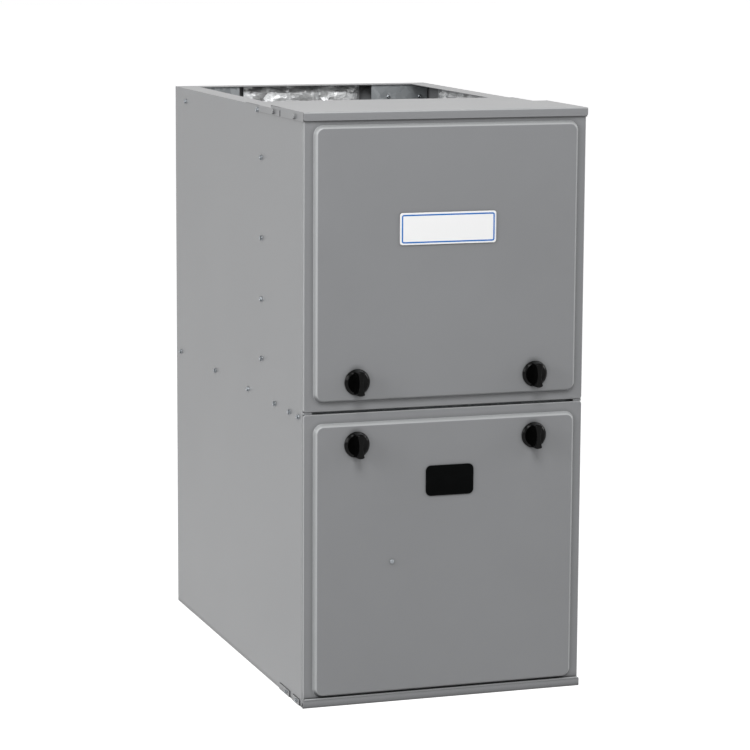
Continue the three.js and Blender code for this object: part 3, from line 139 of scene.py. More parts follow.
print("helpers ready")

# %% [markdown]
# ## Node helpers
# A finish is a small tree of nodes. Two helpers keep the trees readable: one adds a node
# and wires its inputs in the same line, the other opens a node group with named sockets.
# Each effect that several finishes share is a group that is built once.


# %% Helpers that build node trees
def linear(hex_colour):
    """The scene-linear value of a colour written as on a paint card."""
    parts = [int(hex_colour[i:i + 2], 16) / 255 for i in (1, 3, 5)]
    return tuple(p / 12.92 if p <= 0.04045 else ((p + 0.055) / 1.055) ** 2.4 for p in parts) + (1,)


def add(tree, kind, inputs=None, **settings):
    """Adds a node. An input is either a plain value or the socket that feeds it."""
    node = tree.nodes.new(kind)
    for name, value in settings.items():
        setattr(node, name, value)
    for name, value in (inputs or {}).items():
        if isinstance(value, bpy.types.NodeSocket):
            tree.links.new(value, node.inputs[name])
        else:
            node.inputs[name].default_value = value
    return node


def new_group(name, inputs, outputs):
    """A node group with named float sockets."""
    tree = bpy.data.node_groups.new(name, "ShaderNodeTree")
    for label, value in inputs.items():
        socket = tree.interface.new_socket(label, in_out="INPUT", socket_type="NodeSocketFloat")
        socket.default_value = value
    for label in outputs:
        tree.interface.new_socket(label, in_out="OUTPUT", socket_type="NodeSocketFloat")
    return tree, tree.nodes.new("NodeGroupInput"), tree.nodes.new("NodeGroupOutput")


def place_group(tree, group, inputs=None):
    """Places a group in a finish with its own values."""
    node = tree.nodes.new("ShaderNodeGroup")
    node.node_tree = group
    for name, value in (inputs or {}).items():
        node.inputs[name].default_value = value
    return node


def stretch(tree, value, low, high, start=0.0, end=1.0):
    """Maps a 0 to 1 value to low to high."""
    return add(tree, "ShaderNodeMapRange", {"Value": value, "From Min": start, "From Max": end,
                                            "To Min": low, "To Max": high}).outputs["Result"]


def blend_colours(tree, share, first, second):
    """Mixes two colours by a share from 0 to 1."""
    mix = tree.nodes.new("ShaderNodeMix")
    mix.data_type = "RGBA"
    tree.links.new(share, mix.inputs[0])
    for socket, value in ((mix.inputs[6], first), (mix.inputs[7], second)):
        if isinstance(value, bpy.types.NodeSocket):
            tree.links.new(value, socket)
        else:
            socket.default_value = value
    return mix.outputs[2]


def new_finish(name):
    """An empty material with its shader."""
    finish = bpy.data.materials.new(name)
    finish.use_nodes = True
    return finish, finish.node_tree, finish.node_tree.nodes["Principled BSDF"]


def raise_surface(tree, shader, height, strength, distance):
    """Feeds a height to the shader's normal."""
    bump = add(tree, "ShaderNodeBump", {"Height": height, "Strength": strength,
                                        "Distance": distance})
    tree.links.new(bump.outputs["Normal"], shader.inputs["Normal"])


print("node helpers ready")

# %% [markdown]
# ## Shared surface effects
# Baked enamel has a faint orange peel about a millimetre across and drifts in gloss over
# a hand's width. Galvanised sheet shows spangles and fine rolling lines. Moulded parts
# have a pebbled grain. Dust settles only on faces that look up. Cut edges and the doors'
# bends are painted paler, a painted highlight, and recesses are painted darker, painted
# shade. Each of these is one group.


# %% Group: enamel skin
enamel_skin, skin_in, skin_out = new_group(
    "enamel skin", {"Peel per metre": 900.0, "Drift per metre": 7.0}, ["Height", "Drift", "Speck"])
where = add(enamel_skin, "ShaderNodeTexCoord").outputs["Object"]
peel = add(enamel_skin, "ShaderNodeTexNoise",
           {"Vector": where, "Scale": skin_in.outputs["Peel per metre"], "Detail": 2.0})
drift = add(enamel_skin, "ShaderNodeTexNoise",
            {"Vector": where, "Scale": skin_in.outputs["Drift per metre"], "Detail": 3.0})
speck = add(enamel_skin, "ShaderNodeTexNoise", {"Vector": where, "Scale": 2600.0, "Detail": 1.0})
enamel_skin.links.new(peel.outputs["Fac"], skin_out.inputs["Height"])
enamel_skin.links.new(drift.outputs["Fac"], skin_out.inputs["Drift"])
enamel_skin.links.new(speck.outputs["Fac"], skin_out.inputs["Speck"])
print("enamel skin:", len(enamel_skin.nodes), "nodes")

# %% Group: zinc sheet
zinc_sheet, zinc_in, zinc_out = new_group(
    "zinc sheet", {"Spangles per metre": 90.0, "Lines per metre": 1400.0}, ["Spangle", "Lines"])
where = add(zinc_sheet, "ShaderNodeTexCoord").outputs["Object"]
warp = add(zinc_sheet, "ShaderNodeTexNoise", {"Vector": where, "Scale": 60.0})
bent = add(zinc_sheet, "ShaderNodeVectorMath", {0: warp.outputs["Color"], 1: (0.012,) * 3},
           operation="MULTIPLY")
moved = add(zinc_sheet, "ShaderNodeVectorMath", {0: where, 1: bent.outputs[0]}, operation="ADD")
cells = add(zinc_sheet, "ShaderNodeTexVoronoi",
            {"Vector": moved.outputs[0], "Scale": zinc_in.outputs["Spangles per metre"]})
tint = add(zinc_sheet, "ShaderNodeSeparateColor", {"Color": cells.outputs["Color"]})
squeezed = add(zinc_sheet, "ShaderNodeVectorMath", {0: where, 1: (1.0, 1.0, 0.03)},
               operation="MULTIPLY")
rolled = add(zinc_sheet, "ShaderNodeTexNoise",
             {"Vector": squeezed.outputs[0], "Scale": zinc_in.outputs["Lines per metre"]})
zinc_sheet.links.new(tint.outputs[0], zinc_out.inputs["Spangle"])
zinc_sheet.links.new(rolled.outputs["Fac"], zinc_out.inputs["Lines"])
print("zinc sheet:", len(zinc_sheet.nodes), "nodes")

# %% Group: moulded grain
moulded_grain, grain_in, grain_out = new_group(
    "moulded grain", {"Grain per metre": 1800.0}, ["Height", "Blotch"])
where = add(moulded_grain, "ShaderNodeTexCoord").outputs["Object"]
pebble = add(moulded_grain, "ShaderNodeTexVoronoi",
             {"Vector": where, "Scale": grain_in.outputs["Grain per metre"]}, feature="SMOOTH_F1")
blotch = add(moulded_grain, "ShaderNodeTexNoise", {"Vector": where, "Scale": 45.0, "Detail": 4.0})
moulded_grain.links.new(pebble.outputs["Distance"], grain_out.inputs["Height"])
moulded_grain.links.new(blotch.outputs["Fac"], grain_out.inputs["Blotch"])
print("moulded grain:", len(moulded_grain.nodes), "nodes")

# %% Group: settled dust
settled_dust, dust_in, dust_out = new_group("settled dust", {"Amount": 0.1}, ["Share"])
where = add(settled_dust, "ShaderNodeTexCoord").outputs["Object"]
facing = add(settled_dust, "ShaderNodeSeparateXYZ",
             {"Vector": add(settled_dust, "ShaderNodeNewGeometry").outputs["Normal"]})
upward = stretch(settled_dust, facing.outputs["Z"], 0.0, 1.0, 0.55, 0.98)
patches = add(settled_dust, "ShaderNodeTexNoise", {"Vector": where, "Scale": 14.0, "Detail": 6.0})
clumps = stretch(settled_dust, patches.outputs["Fac"], 0.35, 1.0, 0.35, 0.7)
landed = add(settled_dust, "ShaderNodeMath", {0: upward, 1: clumps}, operation="MULTIPLY")
share = add(settled_dust, "ShaderNodeMath",
            {0: landed.outputs[0], 1: dust_in.outputs["Amount"]}, operation="MULTIPLY")
settled_dust.links.new(share.outputs[0], dust_out.inputs["Share"])
print("settled dust:", len(settled_dust.nodes), "nodes")

# %% Group: painted edge highlight
# Edges found by the bevel normal get a paler colour. This is a painted highlight, like the bright line
# that light draws on a bent edge.
edge_highlight, edge_in, edge_out = new_group("painted edge highlight", {"Reach": 0.0008}, ["Share"])
soft = add(edge_highlight, "ShaderNodeBevel", {"Radius": edge_in.outputs["Reach"]}, samples=4)
true_normal = add(edge_highlight, "ShaderNodeNewGeometry").outputs["Normal"]
alike = add(edge_highlight, "ShaderNodeVectorMath", {0: soft.outputs["Normal"], 1: true_normal},
            operation="DOT_PRODUCT")
paler_edge = stretch(edge_highlight, alike.outputs["Value"], 1.0, 0.0, 0.72, 0.995)
edge_highlight.links.new(paler_edge, edge_out.inputs["Share"])
print("painted edge highlight:", len(edge_highlight.nodes), "nodes")

# %% Group: painted bend highlight
# The forward part of a normal is -1 on the doors' plane and 0 on the sides' plane. A face
# between the two counts as a bend and is painted paler, a painted highlight. Bends that
# look down at the floor get no highlight.
FRONT_LEAN = (-0.985, -0.84)
SIDE_LEAN = (-0.38, -0.12)
DOWN_LEAN = (-0.45, -0.05)
bend_highlight, bend_in, bend_out = new_group("painted bend highlight", {"Amount": 1.0}, ["Share"])
lean = add(bend_highlight, "ShaderNodeSeparateXYZ",
           {"Vector": add(bend_highlight, "ShaderNodeNewGeometry").outputs["Normal"]})
off_front = stretch(bend_highlight, lean.outputs["Y"], 0.0, 1.0, *FRONT_LEAN)
off_side = stretch(bend_highlight, lean.outputs["Y"], 1.0, 0.0, *SIDE_LEAN)
not_down = stretch(bend_highlight, lean.outputs["Z"], 0.0, 1.0, *DOWN_LEAN)
leaning = add(bend_highlight, "ShaderNodeMath", {0: off_front, 1: off_side}, operation="MULTIPLY")
lit = add(bend_highlight, "ShaderNodeMath", {0: leaning.outputs[0], 1: not_down},
          operation="MULTIPLY")
share = add(bend_highlight, "ShaderNodeMath",
            {0: lit.outputs[0], 1: bend_in.outputs["Amount"]}, operation="MULTIPLY")
bend_highlight.links.new(share.outputs[0], bend_out.inputs["Share"])
print("painted bend highlight:", len(bend_highlight.nodes), "nodes")

# %% Group: painted shade in recesses
# Ambient occlusion finds recesses, under the lip and between parts, and there the colour is darkened
# as painted shade.
recess_shade, hollow_in, hollow_out = new_group("recess_shade", {"Reach": 0.009, "Amount": 0.8}, ["Share"])
openness = add(recess_shade, "ShaderNodeAmbientOcclusion", {"Distance": hollow_in.outputs["Reach"]},
               samples=8)
closed = stretch(recess_shade, openness.outputs["AO"], 1.0, 0.0, 0.45, 1.0)
share = add(recess_shade, "ShaderNodeMath", {0: closed, 1: hollow_in.outputs["Amount"]},
            operation="MULTIPLY")
recess_shade.links.new(share.outputs[0], hollow_out.inputs["Share"])
print("hollows:", len(recess_shade.nodes), "nodes")

# %% [markdown]
# ## Finishes
# The cabinet is satin grey baked enamel. Its tone drifts very slightly, its gloss has an
# orange peel, its edges carry a painted highlight and its level faces hold a little dust.
# Its colour is painted paler over the doors' bends as a painted highlight, and darker in
# recesses as painted shade. Both could be left to the lamps, but soft lamps alone show
# the doors' narrow bends too faintly. The same recipe with a darker colour does the
# black enamel of the motors and the gas manifold.


# %% Baked enamel
# Reach and colour of the painted shade in recesses.
RECESS_SHADE_REACH = 9 * MM
PAINTED_SHADE_COLOUR = "#2C2D2E"
HOUSE_DUST = "#C4C0B8"
# Shares of the painted edge highlight, the painted bend highlight and the painted shade.
EDGE_HIGHLIGHT_SHARE = 0.35
BEND_HIGHLIGHT_SHARE = 0.9
RECESS_SHADE_SHARE = 0.8


def baked_enamel(name, colour, highlit_edge_colour, highlit_bend_colour, roughness, dust=0.05):
    """Enamel with a painted highlight on its edges and bends, and painted shade in recesses."""
    finish, tree, shader = new_finish(name)
    skin = place_group(tree, enamel_skin)
    edges = place_group(tree, edge_highlight)
    fall = place_group(tree, settled_dust, {"Amount": dust})
    drift = stretch(tree, skin.outputs["Drift"], 0.0, 1.0, 0.3, 0.7)
    deep = tuple(0.955 * c for c in linear(colour)[:3]) + (1,)
    tone = blend_colours(tree, drift, deep, linear(colour))
    # Edges are painted paler here: a painted highlight.
    painted_edge_share = add(tree, "ShaderNodeMath", {0: edges.outputs["Share"], 1: EDGE_HIGHLIGHT_SHARE},
                    operation="MULTIPLY")
    tone = blend_colours(tree, painted_edge_share.outputs[0], tone, linear(highlit_edge_colour))
    # Bends are painted paler here, a painted highlight, except those that face down.
    bends = place_group(tree, bend_highlight, {"Amount": BEND_HIGHLIGHT_SHARE})
    tone = blend_colours(tree, bends.outputs["Share"], tone, linear(highlit_bend_colour))
    # Recesses are painted darker here: painted shade.
    shaded_recesses = place_group(tree, recess_shade, {"Reach": RECESS_SHADE_REACH, "Amount": RECESS_SHADE_SHARE})
    tone = blend_colours(tree, shaded_recesses.outputs["Share"], tone, linear(PAINTED_SHADE_COLOUR))
    tone = blend_colours(tree, fall.outputs["Share"], tone, linear(HOUSE_DUST))
    tree.links.new(tone, shader.inputs["Base Color"])
    gloss = stretch(tree, skin.outputs["Drift"], roughness - 0.03, roughness + 0.05)
    tree.links.new(gloss, shader.inputs["Roughness"])
    shader.inputs["Specular IOR Level"].default_value = 0.6
    raise_surface(tree, shader, skin.outputs["Height"], 0.1, 0.0003)
    return finish


# The second and third colours are the painted edge highlight and the painted bend highlight.
grey_paint = baked_enamel("grey baked enamel", "#88898B", "#9A9C9D", "#B6B8B9", 0.3)
black_iron = baked_enamel("black baked enamel", "#232527", "#3C3E40", "#2C2E30", 0.38)
print("enamels:", grey_paint.name, "and", black_iron.name)

# %% [markdown]
# Bare metal inside the cabinet is galvanised sheet, aluminised exchanger steel, cast
# aluminium and ground steel. They share one recipe: spangles move the colour a little,
# rolling lines move the roughness, and each finish sets its own strength of both.


# %% Bare metals
def bare_metal(name, dark, light, roughness, spangles=90.0, lines=0.12, tint=None, metal=1.0):
    """Rolled or cast metal: its spangles run from dark to light, and tint is heat colour."""
    finish, tree, shader = new_finish(name)
    sheet = place_group(tree, zinc_sheet, {"Spangles per metre": spangles})
    fall = place_group(tree, settled_dust, {"Amount": 0.12})
    tone = blend_colours(tree, sheet.outputs["Spangle"], linear(dark), linear(light))
    if tint:
        where = add(tree, "ShaderNodeTexCoord").outputs["Object"]
        heat = add(tree, "ShaderNodeTexNoise", {"Vector": where, "Scale": 8.0, "Detail": 3.0})
        warmth = stretch(tree, heat.outputs["Fac"], 0.0, 0.75, 0.42, 0.68)
        tone = blend_colours(tree, warmth, tone, linear(tint))
    tone = blend_colours(tree, fall.outputs["Share"], tone, linear("#B9B4AA"))
    tree.links.new(tone, shader.inputs["Base Color"])
    shader.inputs["Metallic"].default_value = metal
    gloss = stretch(tree, sheet.outputs["Lines"], roughness - lines, roughness + lines)
    tree.links.new(gloss, shader.inputs["Roughness"])
    raise_surface(tree, shader, sheet.outputs["Lines"], 0.12, 0.0002)
    return finish


galvanised = bare_metal("galvanised sheet", "#8C9093", "#A9ADB0", 0.45, metal=0.5)
exchanger_steel = bare_metal("aluminised exchanger steel", "#7E8284", "#A3A6A7", 0.38, 160.0,
                             tint="#9A8F7E")
fin_aluminium = bare_metal("fin stock", "#A9ADB0", "#C6C9CB", 0.35, 300.0)
cast_aluminium = bare_metal("die-cast aluminium", "#999DA0", "#B4B8BA", 0.5, 500.0)
ground_steel = bare_metal("ground steel", "#8D9093", "#ABAEB0", 0.3, 40.0)
zinc_plate = bare_metal("zinc-plated screw", "#7D8185", "#9A9EA1", 0.34, 700.0, 0.08)
print("bare metals: 6")

# %% [markdown]
# Moulded parts differ in colour, gloss and grain. The knobs are polished, so their grain
# is faint. Hoses and the vent coupling are dull rubber. The sight window is smoked and
# nearly black, and reflects very little head on.


# %% Moulded plastics and rubber
def moulded(name, colour, roughness, grain=1800.0, depth=0.00008, gloss_level=0.4, dust=0.06):
    """A moulded finish with pebbles of the given depth and blotches in its gloss."""
    finish, tree, shader = new_finish(name)
    surface = place_group(tree, moulded_grain, {"Grain per metre": grain})
    fall = place_group(tree, settled_dust, {"Amount": dust})
    lighter = tuple(min(1.0, 1.18 * c + 0.002) for c in linear(colour)[:3]) + (1,)
    tone = blend_colours(tree, surface.outputs["Blotch"], linear(colour), lighter)
    tone = blend_colours(tree, fall.outputs["Share"], tone, linear("#8E8B85"))
    tree.links.new(tone, shader.inputs["Base Color"])
    sheen = stretch(tree, surface.outputs["Blotch"], max(0.02, roughness - 0.05), roughness + 0.07)
    tree.links.new(sheen, shader.inputs["Roughness"])
    shader.inputs["Specular IOR Level"].default_value = gloss_level
    raise_surface(tree, shader, surface.outputs["Height"], 0.25, depth)
    return finish


knob_black = moulded("polished black knob", "#020202", 0.14, 1500.0, 0.00001, 0.1, 0.0)
window_black = moulded("smoked window", "#040505", 0.2, 2500.0, 0.00001, 0.02, 0.0)
badge_white = moulded("smooth white plastic", "#FDFDFD", 0.3, 2500.0, 0.00001, 0.4, 0.0)
badge_blue = moulded("blue enamel line", "#0068B8", 0.35, 2500.0, 0.00001, 0.4, 0.0)
dark_plastic = moulded("dark moulding", "#1D1F21", 0.45)
black_rubber = moulded("black rubber", "#1A1B1B", 0.7, 900.0, 0.00015)
white_ceramic = moulded("unglazed ceramic", "#D9D7D0", 0.75, 2200.0, 0.0001)
red_plastic = moulded("red reset button", "#A02218", 0.35)
print("mouldings: 8")

# %% [markdown]
# The insulation is glass fibre behind crinkled aluminium foil. Foil reads by its facets,
# so the creases are in the mesh, and a fine bump adds the small wrinkles between them.

# %% Foil and circuit board
foil, tree, shader = new_finish("crinkled foil")
where = add(tree, "ShaderNodeTexCoord").outputs["Object"]
wrinkle = add(tree, "ShaderNodeTexVoronoi", {"Vector": where, "Scale": 170.0},
              feature="DISTANCE_TO_EDGE")
ripple = add(tree, "ShaderNodeTexNoise", {"Vector": where, "Scale": 420.0, "Detail": 4.0})
height = add(tree, "ShaderNodeMath", {0: wrinkle.outputs["Distance"],
                                      1: ripple.outputs["Fac"]}, operation="ADD")
tone = blend_colours(tree, ripple.outputs["Fac"], linear("#D4D6D8"), linear("#F2F3F3"))
tree.links.new(tone, shader.inputs["Base Color"])
tree.links.new(stretch(tree, ripple.outputs["Fac"], 0.28, 0.5), shader.inputs["Roughness"])
shader.inputs["Metallic"].default_value = 0.85
raise_surface(tree, shader, height.outputs[0], 0.45, 0.0008)

board_green, tree, shader = new_finish("green circuit board")
where = add(tree, "ShaderNodeTexCoord").outputs["Object"]
tracks = add(tree, "ShaderNodeTexBrick", {"Vector": where, "Scale": 120.0, "Mortar Size": 0.03})
tracks.inputs["Color1"].default_value = linear("#245A38")
tracks.inputs["Color2"].default_value = linear("#1D4E30")
tracks.inputs["Mortar"].default_value = linear("#3C7A50")
tree.links.new(tracks.outputs["Color"], shader.inputs["Base Color"])
grime = add(tree, "ShaderNodeTexNoise", {"Vector": where, "Scale": 90.0})
tree.links.new(stretch(tree, grime.outputs["Fac"], 0.25, 0.5), shader.inputs["Roughness"])
raise_surface(tree, shader, tracks.outputs["Fac"], 0.2, 0.0001)
print("foil and board ready")

# %% [markdown]
# ## Dressing the frame's own nodes
# Most nodes keep the frame's mesh. Its triangles come split at every edge, so a weld joins
# them, and a narrow bevel gives every edge the rounded line that catches light on real
# sheet metal.

# %% Soften and paint the kept nodes
node_finishes = {
    "casing": ("grey_paint", grey_paint, 0.35),
    "bottom_sill": ("grey_paint", grey_paint, 0.3),
    "top_front_cap": ("grey_paint", grey_paint, 0.3),
    "top_deck": ("grey_paint", grey_paint, 0.3),
    "bottom_panel": ("galvanised", galvanised, 0.2),
    "blower_shelf": ("galvanised", galvanised, 0.25),
    "vestibule_panel": ("galvanised", galvanised, 0.25),
    "rear_coupling_box": ("exchanger_steel", exchanger_steel, 0.8),
    "secondary_heat_exchanger": ("fin_aluminium", fin_aluminium, 0.4),
    "rear_baffle_left": ("galvanised", galvanised, 0.2),
    "rear_baffle_right": ("galvanised", galvanised, 0.2),
    "burner_1": ("galvanised", galvanised, 0.2),
    "burner_2": ("galvanised", galvanised, 0.2),
    "burner_3": ("galvanised", galvanised, 0.2),
    "burner_4": ("galvanised", galvanised, 0.2),
    "burner_carrier": ("galvanised", galvanised, 0.25),
    "gas_manifold": ("black_iron", black_iron, 0.4),
    "gas_valve": ("cast_aluminium", cast_aluminium, 0.8),
    "gas_valve_switch": ("black_plastic", dark_plastic, 0.5),
    "ignitor": ("white_ceramic", white_ceramic, 0.4),
    "flame_sensor": ("white_ceramic", white_ceramic, 0.3),
    "rollout_switch": ("dark_plastic", dark_plastic, 0.4),
    "rollout_reset_button": ("red_plastic", red_plastic, 0.4),
    "limit_switch": ("dark_plastic", dark_plastic, 0.4),
    "collector_box": ("dark_plastic", dark_plastic, 0.8),
    "inducer_housing": ("dark_plastic", dark_plastic, 0.8),
    "inducer_wheel": ("dark_plastic", dark_plastic, 0.2),
    "inducer_motor": ("black_iron", black_iron, 0.8),
    "vent_coupling": ("black_rubber", black_rubber, 0.6),
    "pressure_switch": ("dark_plastic", dark_plastic, 0.4),
    "pressure_tube": ("black_rubber", black_rubber, 0.0),
    "condensate_trap": ("dark_plastic", dark_plastic, 0.8),
    "drain_tube": ("black_rubber", black_rubber, 0.0),
    "blower_housing": ("galvanised", galvanised, 0.25),
    "blower_wheel": ("galvanised", galvanised, 0.0),
    "blower_shaft": ("shaft_steel", ground_steel, 0.3),
    "blower_motor": ("black_iron", black_iron, 0.8),
    "motor_mount": ("galvanised", galvanised, 0.25),
    "control_tray": ("galvanised", galvanised, 0.25),
    "control_board": ("board_green", board_green, 0.0),
    "transformer": ("shaft_steel", ground_steel, 0.4),
    "door_switch": ("dark_plastic", dark_plastic, 0.3),
    "door_switch_plunger": ("badge_white", badge_white, 0.3),
}


def soften(piece, width):
    """Welds and bevels a kept node through modifiers, so its own mesh stays."""
    stored = piece.data.attributes.get("custom_normal")
    if stored:
        piece.data.attributes.remove(stored)
    piece.data.shade_smooth()
    weld = piece.modifiers.new("join split corners", "WELD")
    weld.merge_threshold = 0.000002
    if width:
        bevel = piece.modifiers.new("rounded sheet edge", "BEVEL")
        bevel.width = width * MM
        bevel.segments = 2
        bevel.limit_method = "ANGLE"
        bevel.angle_limit = math.radians(38)
        bevel.use_clamp_overlap = True
        bevel.harden_normals = False
    return level_shading(piece)


for name, (slot, finish, width) in node_finishes.items():
    piece = nodes[name]
    piece.data.materials.clear()
    piece.data.materials.append(finish)
    soften(piece, width)
print("kept nodes dressed:", len(node_finishes))

# %% [markdown]
# ## The pressed doors
# Each door is one sheet. Its edge is bent back, a flat margin runs round it, and inside
# the margin the sheet rises to a raised field. The rise is what the eye reads, as a bright
# line beside a dark one: a tight fillet at its foot, a steep wall, and a softer crest. Its
# profile is therefore drawn with two arcs and the straight between them.

# %% Build the doors
# Flat margin from the door's edge to the foot of the rise: left, right, bottom, top.
MARGINS = {"upper_door": (14.1 * MM, 12.7 * MM, 12.4 * MM, 10.4 * MM),
           "lower_door": (14.1 * MM, 12.7 * MM, 10.8 * MM, 13.8 * MM)}
DOOR_CORNER = 4 * MM
BACK_CORNER = 3 * MM
RISE = 7.2 * MM
FOOT_ARC = 1.3 * MM
CREST_ARC = 3.2 * MM
WALL_ANGLE = math.radians(64)
FIELD_CORNER = 15 * MM
SHEET = 1 * MM
EDGE_BEND = 1.6 * MM
# The sheet reaches out to the casing's sides, this far past the plain door's box.
OVERHANG = 1.5 * MM
# The turned-back edge ends this far before the casing, so that a tilting door clears it.
RIM_SHORT = {"upper_door": 1.5 * MM, "lower_door": 3.7 * MM}


def wall_profile():
    """The rise as (distance in from its foot, height), from the foot to the crest."""
    points = []
    for k in range(6):
        turn = WALL_ANGLE * k / 5
        points.append((FOOT_ARC * math.sin(turn), FOOT_ARC * (1 - math.cos(turn))))
    crest_tall = CREST_ARC * (1 - math.cos(WALL_ANGLE))
    straight = RISE - points[-1][1] - crest_tall
    reach = points[-1][0] + straight / math.tan(WALL_ANGLE) + CREST_ARC * math.sin(WALL_ANGLE)
    for k in range(9):
        turn = WALL_ANGLE * (1 - k / 8)
        points.append((reach - CREST_ARC * math.sin(turn), RISE - CREST_ARC * (1 - math.cos(turn))))
    return points


def door_sections():
    """The door's profile from the field to the rim, as (rise share, inset, radius, depth).

    The inset of the field's rings counts from the foot of the rise, and the share says how
    much of the door's own margin is added to it."""
    rise = wall_profile()
    rings = [(1, rise[-1][0] + 4 * MM, 6 * MM, 0.0)]
    for inward, tall in reversed(rise):
        rings.append((1, inward, FIELD_CORNER - inward, RISE - tall))
    rings.append((1, -3 * MM, FIELD_CORNER - 1 * MM, RISE))
    rings.append((0, EDGE_BEND + 1.5 * MM, DOOR_CORNER + 1 * MM, RISE))
    for k in range(6):
        turn = math.radians(18 * k)
        inset = EDGE_BEND * (1 - math.sin(turn))
        rings.append((0, inset, DOOR_CORNER - inset, RISE + EDGE_BEND * (1 - math.cos(turn))))
    return rings


def door_ring(name, share, inset, radius, y):
    """One ring of a door, set in from each side by that side's own margin."""
    low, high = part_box(name)
    left, right, bottom, top = (share * margin + inset for margin in MARGINS[name])
    return rounded_ring(low.x - OVERHANG + left, high.x + OVERHANG - right,
                        low.z + bottom, high.z - top, radius, y, 8)


def pressed_door(name):
    """A door skin: its front face, its turned-back rim and the back of the sheet."""
    low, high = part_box(name)
    front = [door_ring(name, share, inset, radius, low.y + deep)
             for share, inset, radius, deep in door_sections()]
    rim = high.y - RIM_SHORT[name]
    front.append(door_ring(name, 0, 0, DOOR_CORNER, rim))
    back = [door_ring(name, 0, SHEET, BACK_CORNER, rim)]
    for share, inset, radius, deep in reversed(door_sections()):
        inset = inset if share else max(inset, SHEET)
        back.append(door_ring(name, share, inset, max(radius, BACK_CORNER),
                              low.y + deep + SHEET))
    return skin_of(front + back)


def cut_with(piece, skin):
    """Cuts a bmesh shape out of a piece for good."""
    tool = object_from(skin, piece.name + " cutter")
    boolean = piece.modifiers.new("cut", "BOOLEAN")
    boolean.object = tool
    boolean.solver = "EXACT"
    bpy.context.view_layer.update()
    graph = bpy.context.evaluated_depsgraph_get()
    mesh = bpy.data.meshes.new_from_object(piece.evaluated_get(graph))
    piece.modifiers.clear()
    piece.data = mesh
    bpy.data.objects.remove(tool)


def round_tool(x, z, radius, ends, sides=32):
    """A cylinder along Y between two ends, as a cutting tool."""
    rings = []
    for y in ends:
        rings.append([Vector((x + radius * math.cos(2 * math.pi * k / sides), y,
                              z + radius * math.sin(2 * math.pi * k / sides)))
                      for k in range(sides)])
    return skin_of(rings)


def middle(name):
    """The centre of a node's box."""
    low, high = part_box(name)
    return (low + high) / 2


CUT_DEPTH = (-2 * MM, 4 * MM)
STEM_HOLE = 5.5 * MM
WINDOW_LEDGE = 3 * MM
window_low, window_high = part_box("sight_glass")
doors = {}
for name, knobs in (("upper_door", ("knob_upper_left", "knob_upper_right")),
                    ("lower_door", ("knob_lower_left", "knob_lower_right"))):
    door = object_from(pressed_door(name), name + "_pressing", 24)
    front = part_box(name)[0].y
    for knob in knobs:
        centre = middle(knob)
        ends = [front + y for y in CUT_DEPTH]
        cut_with(door, round_tool(centre.x, centre.z, STEM_HOLE, ends))
    if name == "lower_door":
        hole = [rounded_ring(window_low.x + WINDOW_LEDGE, window_high.x - WINDOW_LEDGE,
                             window_low.z + WINDOW_LEDGE, window_high.z - WINDOW_LEDGE,
                             5 * MM, front + y, 6) for y in CUT_DEPTH]
        cut_with(door, skin_of(hole))
    level_shading(door)
    fit_piece(door, name, grey_paint)
    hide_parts(name)
    doors[name] = door
print("doors:", {name: len(door.data.polygons) for name, door in doors.items()})

# %% [markdown]
# ## The quarter-turn knobs
# A knob is a moulded disc with a sloped rim and a waisted grip across it. The disc is
# dished beside the grip so that fingertips fit. The disc is turned from a profile, and
# the grip is a stack of waisted outlines that shrink towards its rounded crest.


# %% Build the knobs
def turned(profile, centre, sides=72):
    """A skin turned about a Y axis through centre, from (radius, distance along Y)."""
    rings = []
    for radius, y in profile:
        rings.append([Vector((centre.x + max(radius, 1e-5) * math.cos(2 * math.pi * k / sides), y,
                              centre.z + max(radius, 1e-5) * math.sin(2 * math.pi * k / sides)))
                      for k in range(sides)])
    return skin_of(rings)


GRIP_END = 2.2 * MM


def waisted_ring(centre, y, half_length, end_half, waist_half, steps=14):
    """The grip's outline: wide rounded ends and a narrow waist."""
    side = []
    for k in range(steps + 1):
        s = 2 * k / steps - 1
        side.append((waist_half + (end_half - waist_half) * abs(s) ** 1.6,
                     s * (half_length - GRIP_END)))
    cap = []
    for k in range(1, 8):
        turn = math.pi * k / 8
        cap.append((end_half * math.cos(turn), half_length - GRIP_END + GRIP_END * math.sin(turn)))
    loop = side + cap + [(-x, z) for x, z in reversed(side)] + [(-x, -z) for x, z in cap]
    return [Vector((centre.x + x, y, centre.z + z)) for x, z in loop]


def knob_skin(node):
    """A knob: the turned disc, the grip on it and the latch tongue behind the door."""
    low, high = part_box(node)
    centre = middle(node)
    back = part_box("upper_door")[0].y - 0.3 * MM
    crest = low.y
    radius = (high.x - low.x) / 2
    disc = turned([(0.0, back - 3.0 * MM), (9 * MM, back - 3.1 * MM),
                   (radius - 5 * MM, back - 4.0 * MM),
                   (radius - 3.9 * MM, back - 4.4 * MM), (radius - 3.2 * MM, back - 4.3 * MM),
                   (radius - 0.5 * MM, back - 1.7 * MM), (radius, back - 1.1 * MM), (radius, back),
                   (4.5 * MM, back), (4.5 * MM, high.y), (0.0, high.y)], centre)
    # Up the grip: share of its height, scale of its length, and how far its sides draw in.
    levels = [(0.0, 1.0, 0.0), (0.62, 0.97, 0.25), (0.86, 0.955, 0.5), (0.95, 0.93, 0.9),
              (0.985, 0.89, 1.4), (1.0, 0.83, 2.2)]
    rings = []
    for share, scale, inset in levels:
        y = back - 2.4 * MM + (crest - back + 2.4 * MM) * share
        rings.append(waisted_ring(centre, y, radius * scale - 0.2 * MM,
                                  (6.2 - inset) * MM, (3.4 - 0.8 * inset) * MM))
    merge_into(disc, skin_of(rings))
    tongue = block((centre.x - 3 * MM, high.y - 5 * MM, centre.z - 14 * MM),
                   (centre.x + 3 * MM, high.y, centre.z + 14 * MM))
    merge_into(disc, tongue)
    return disc


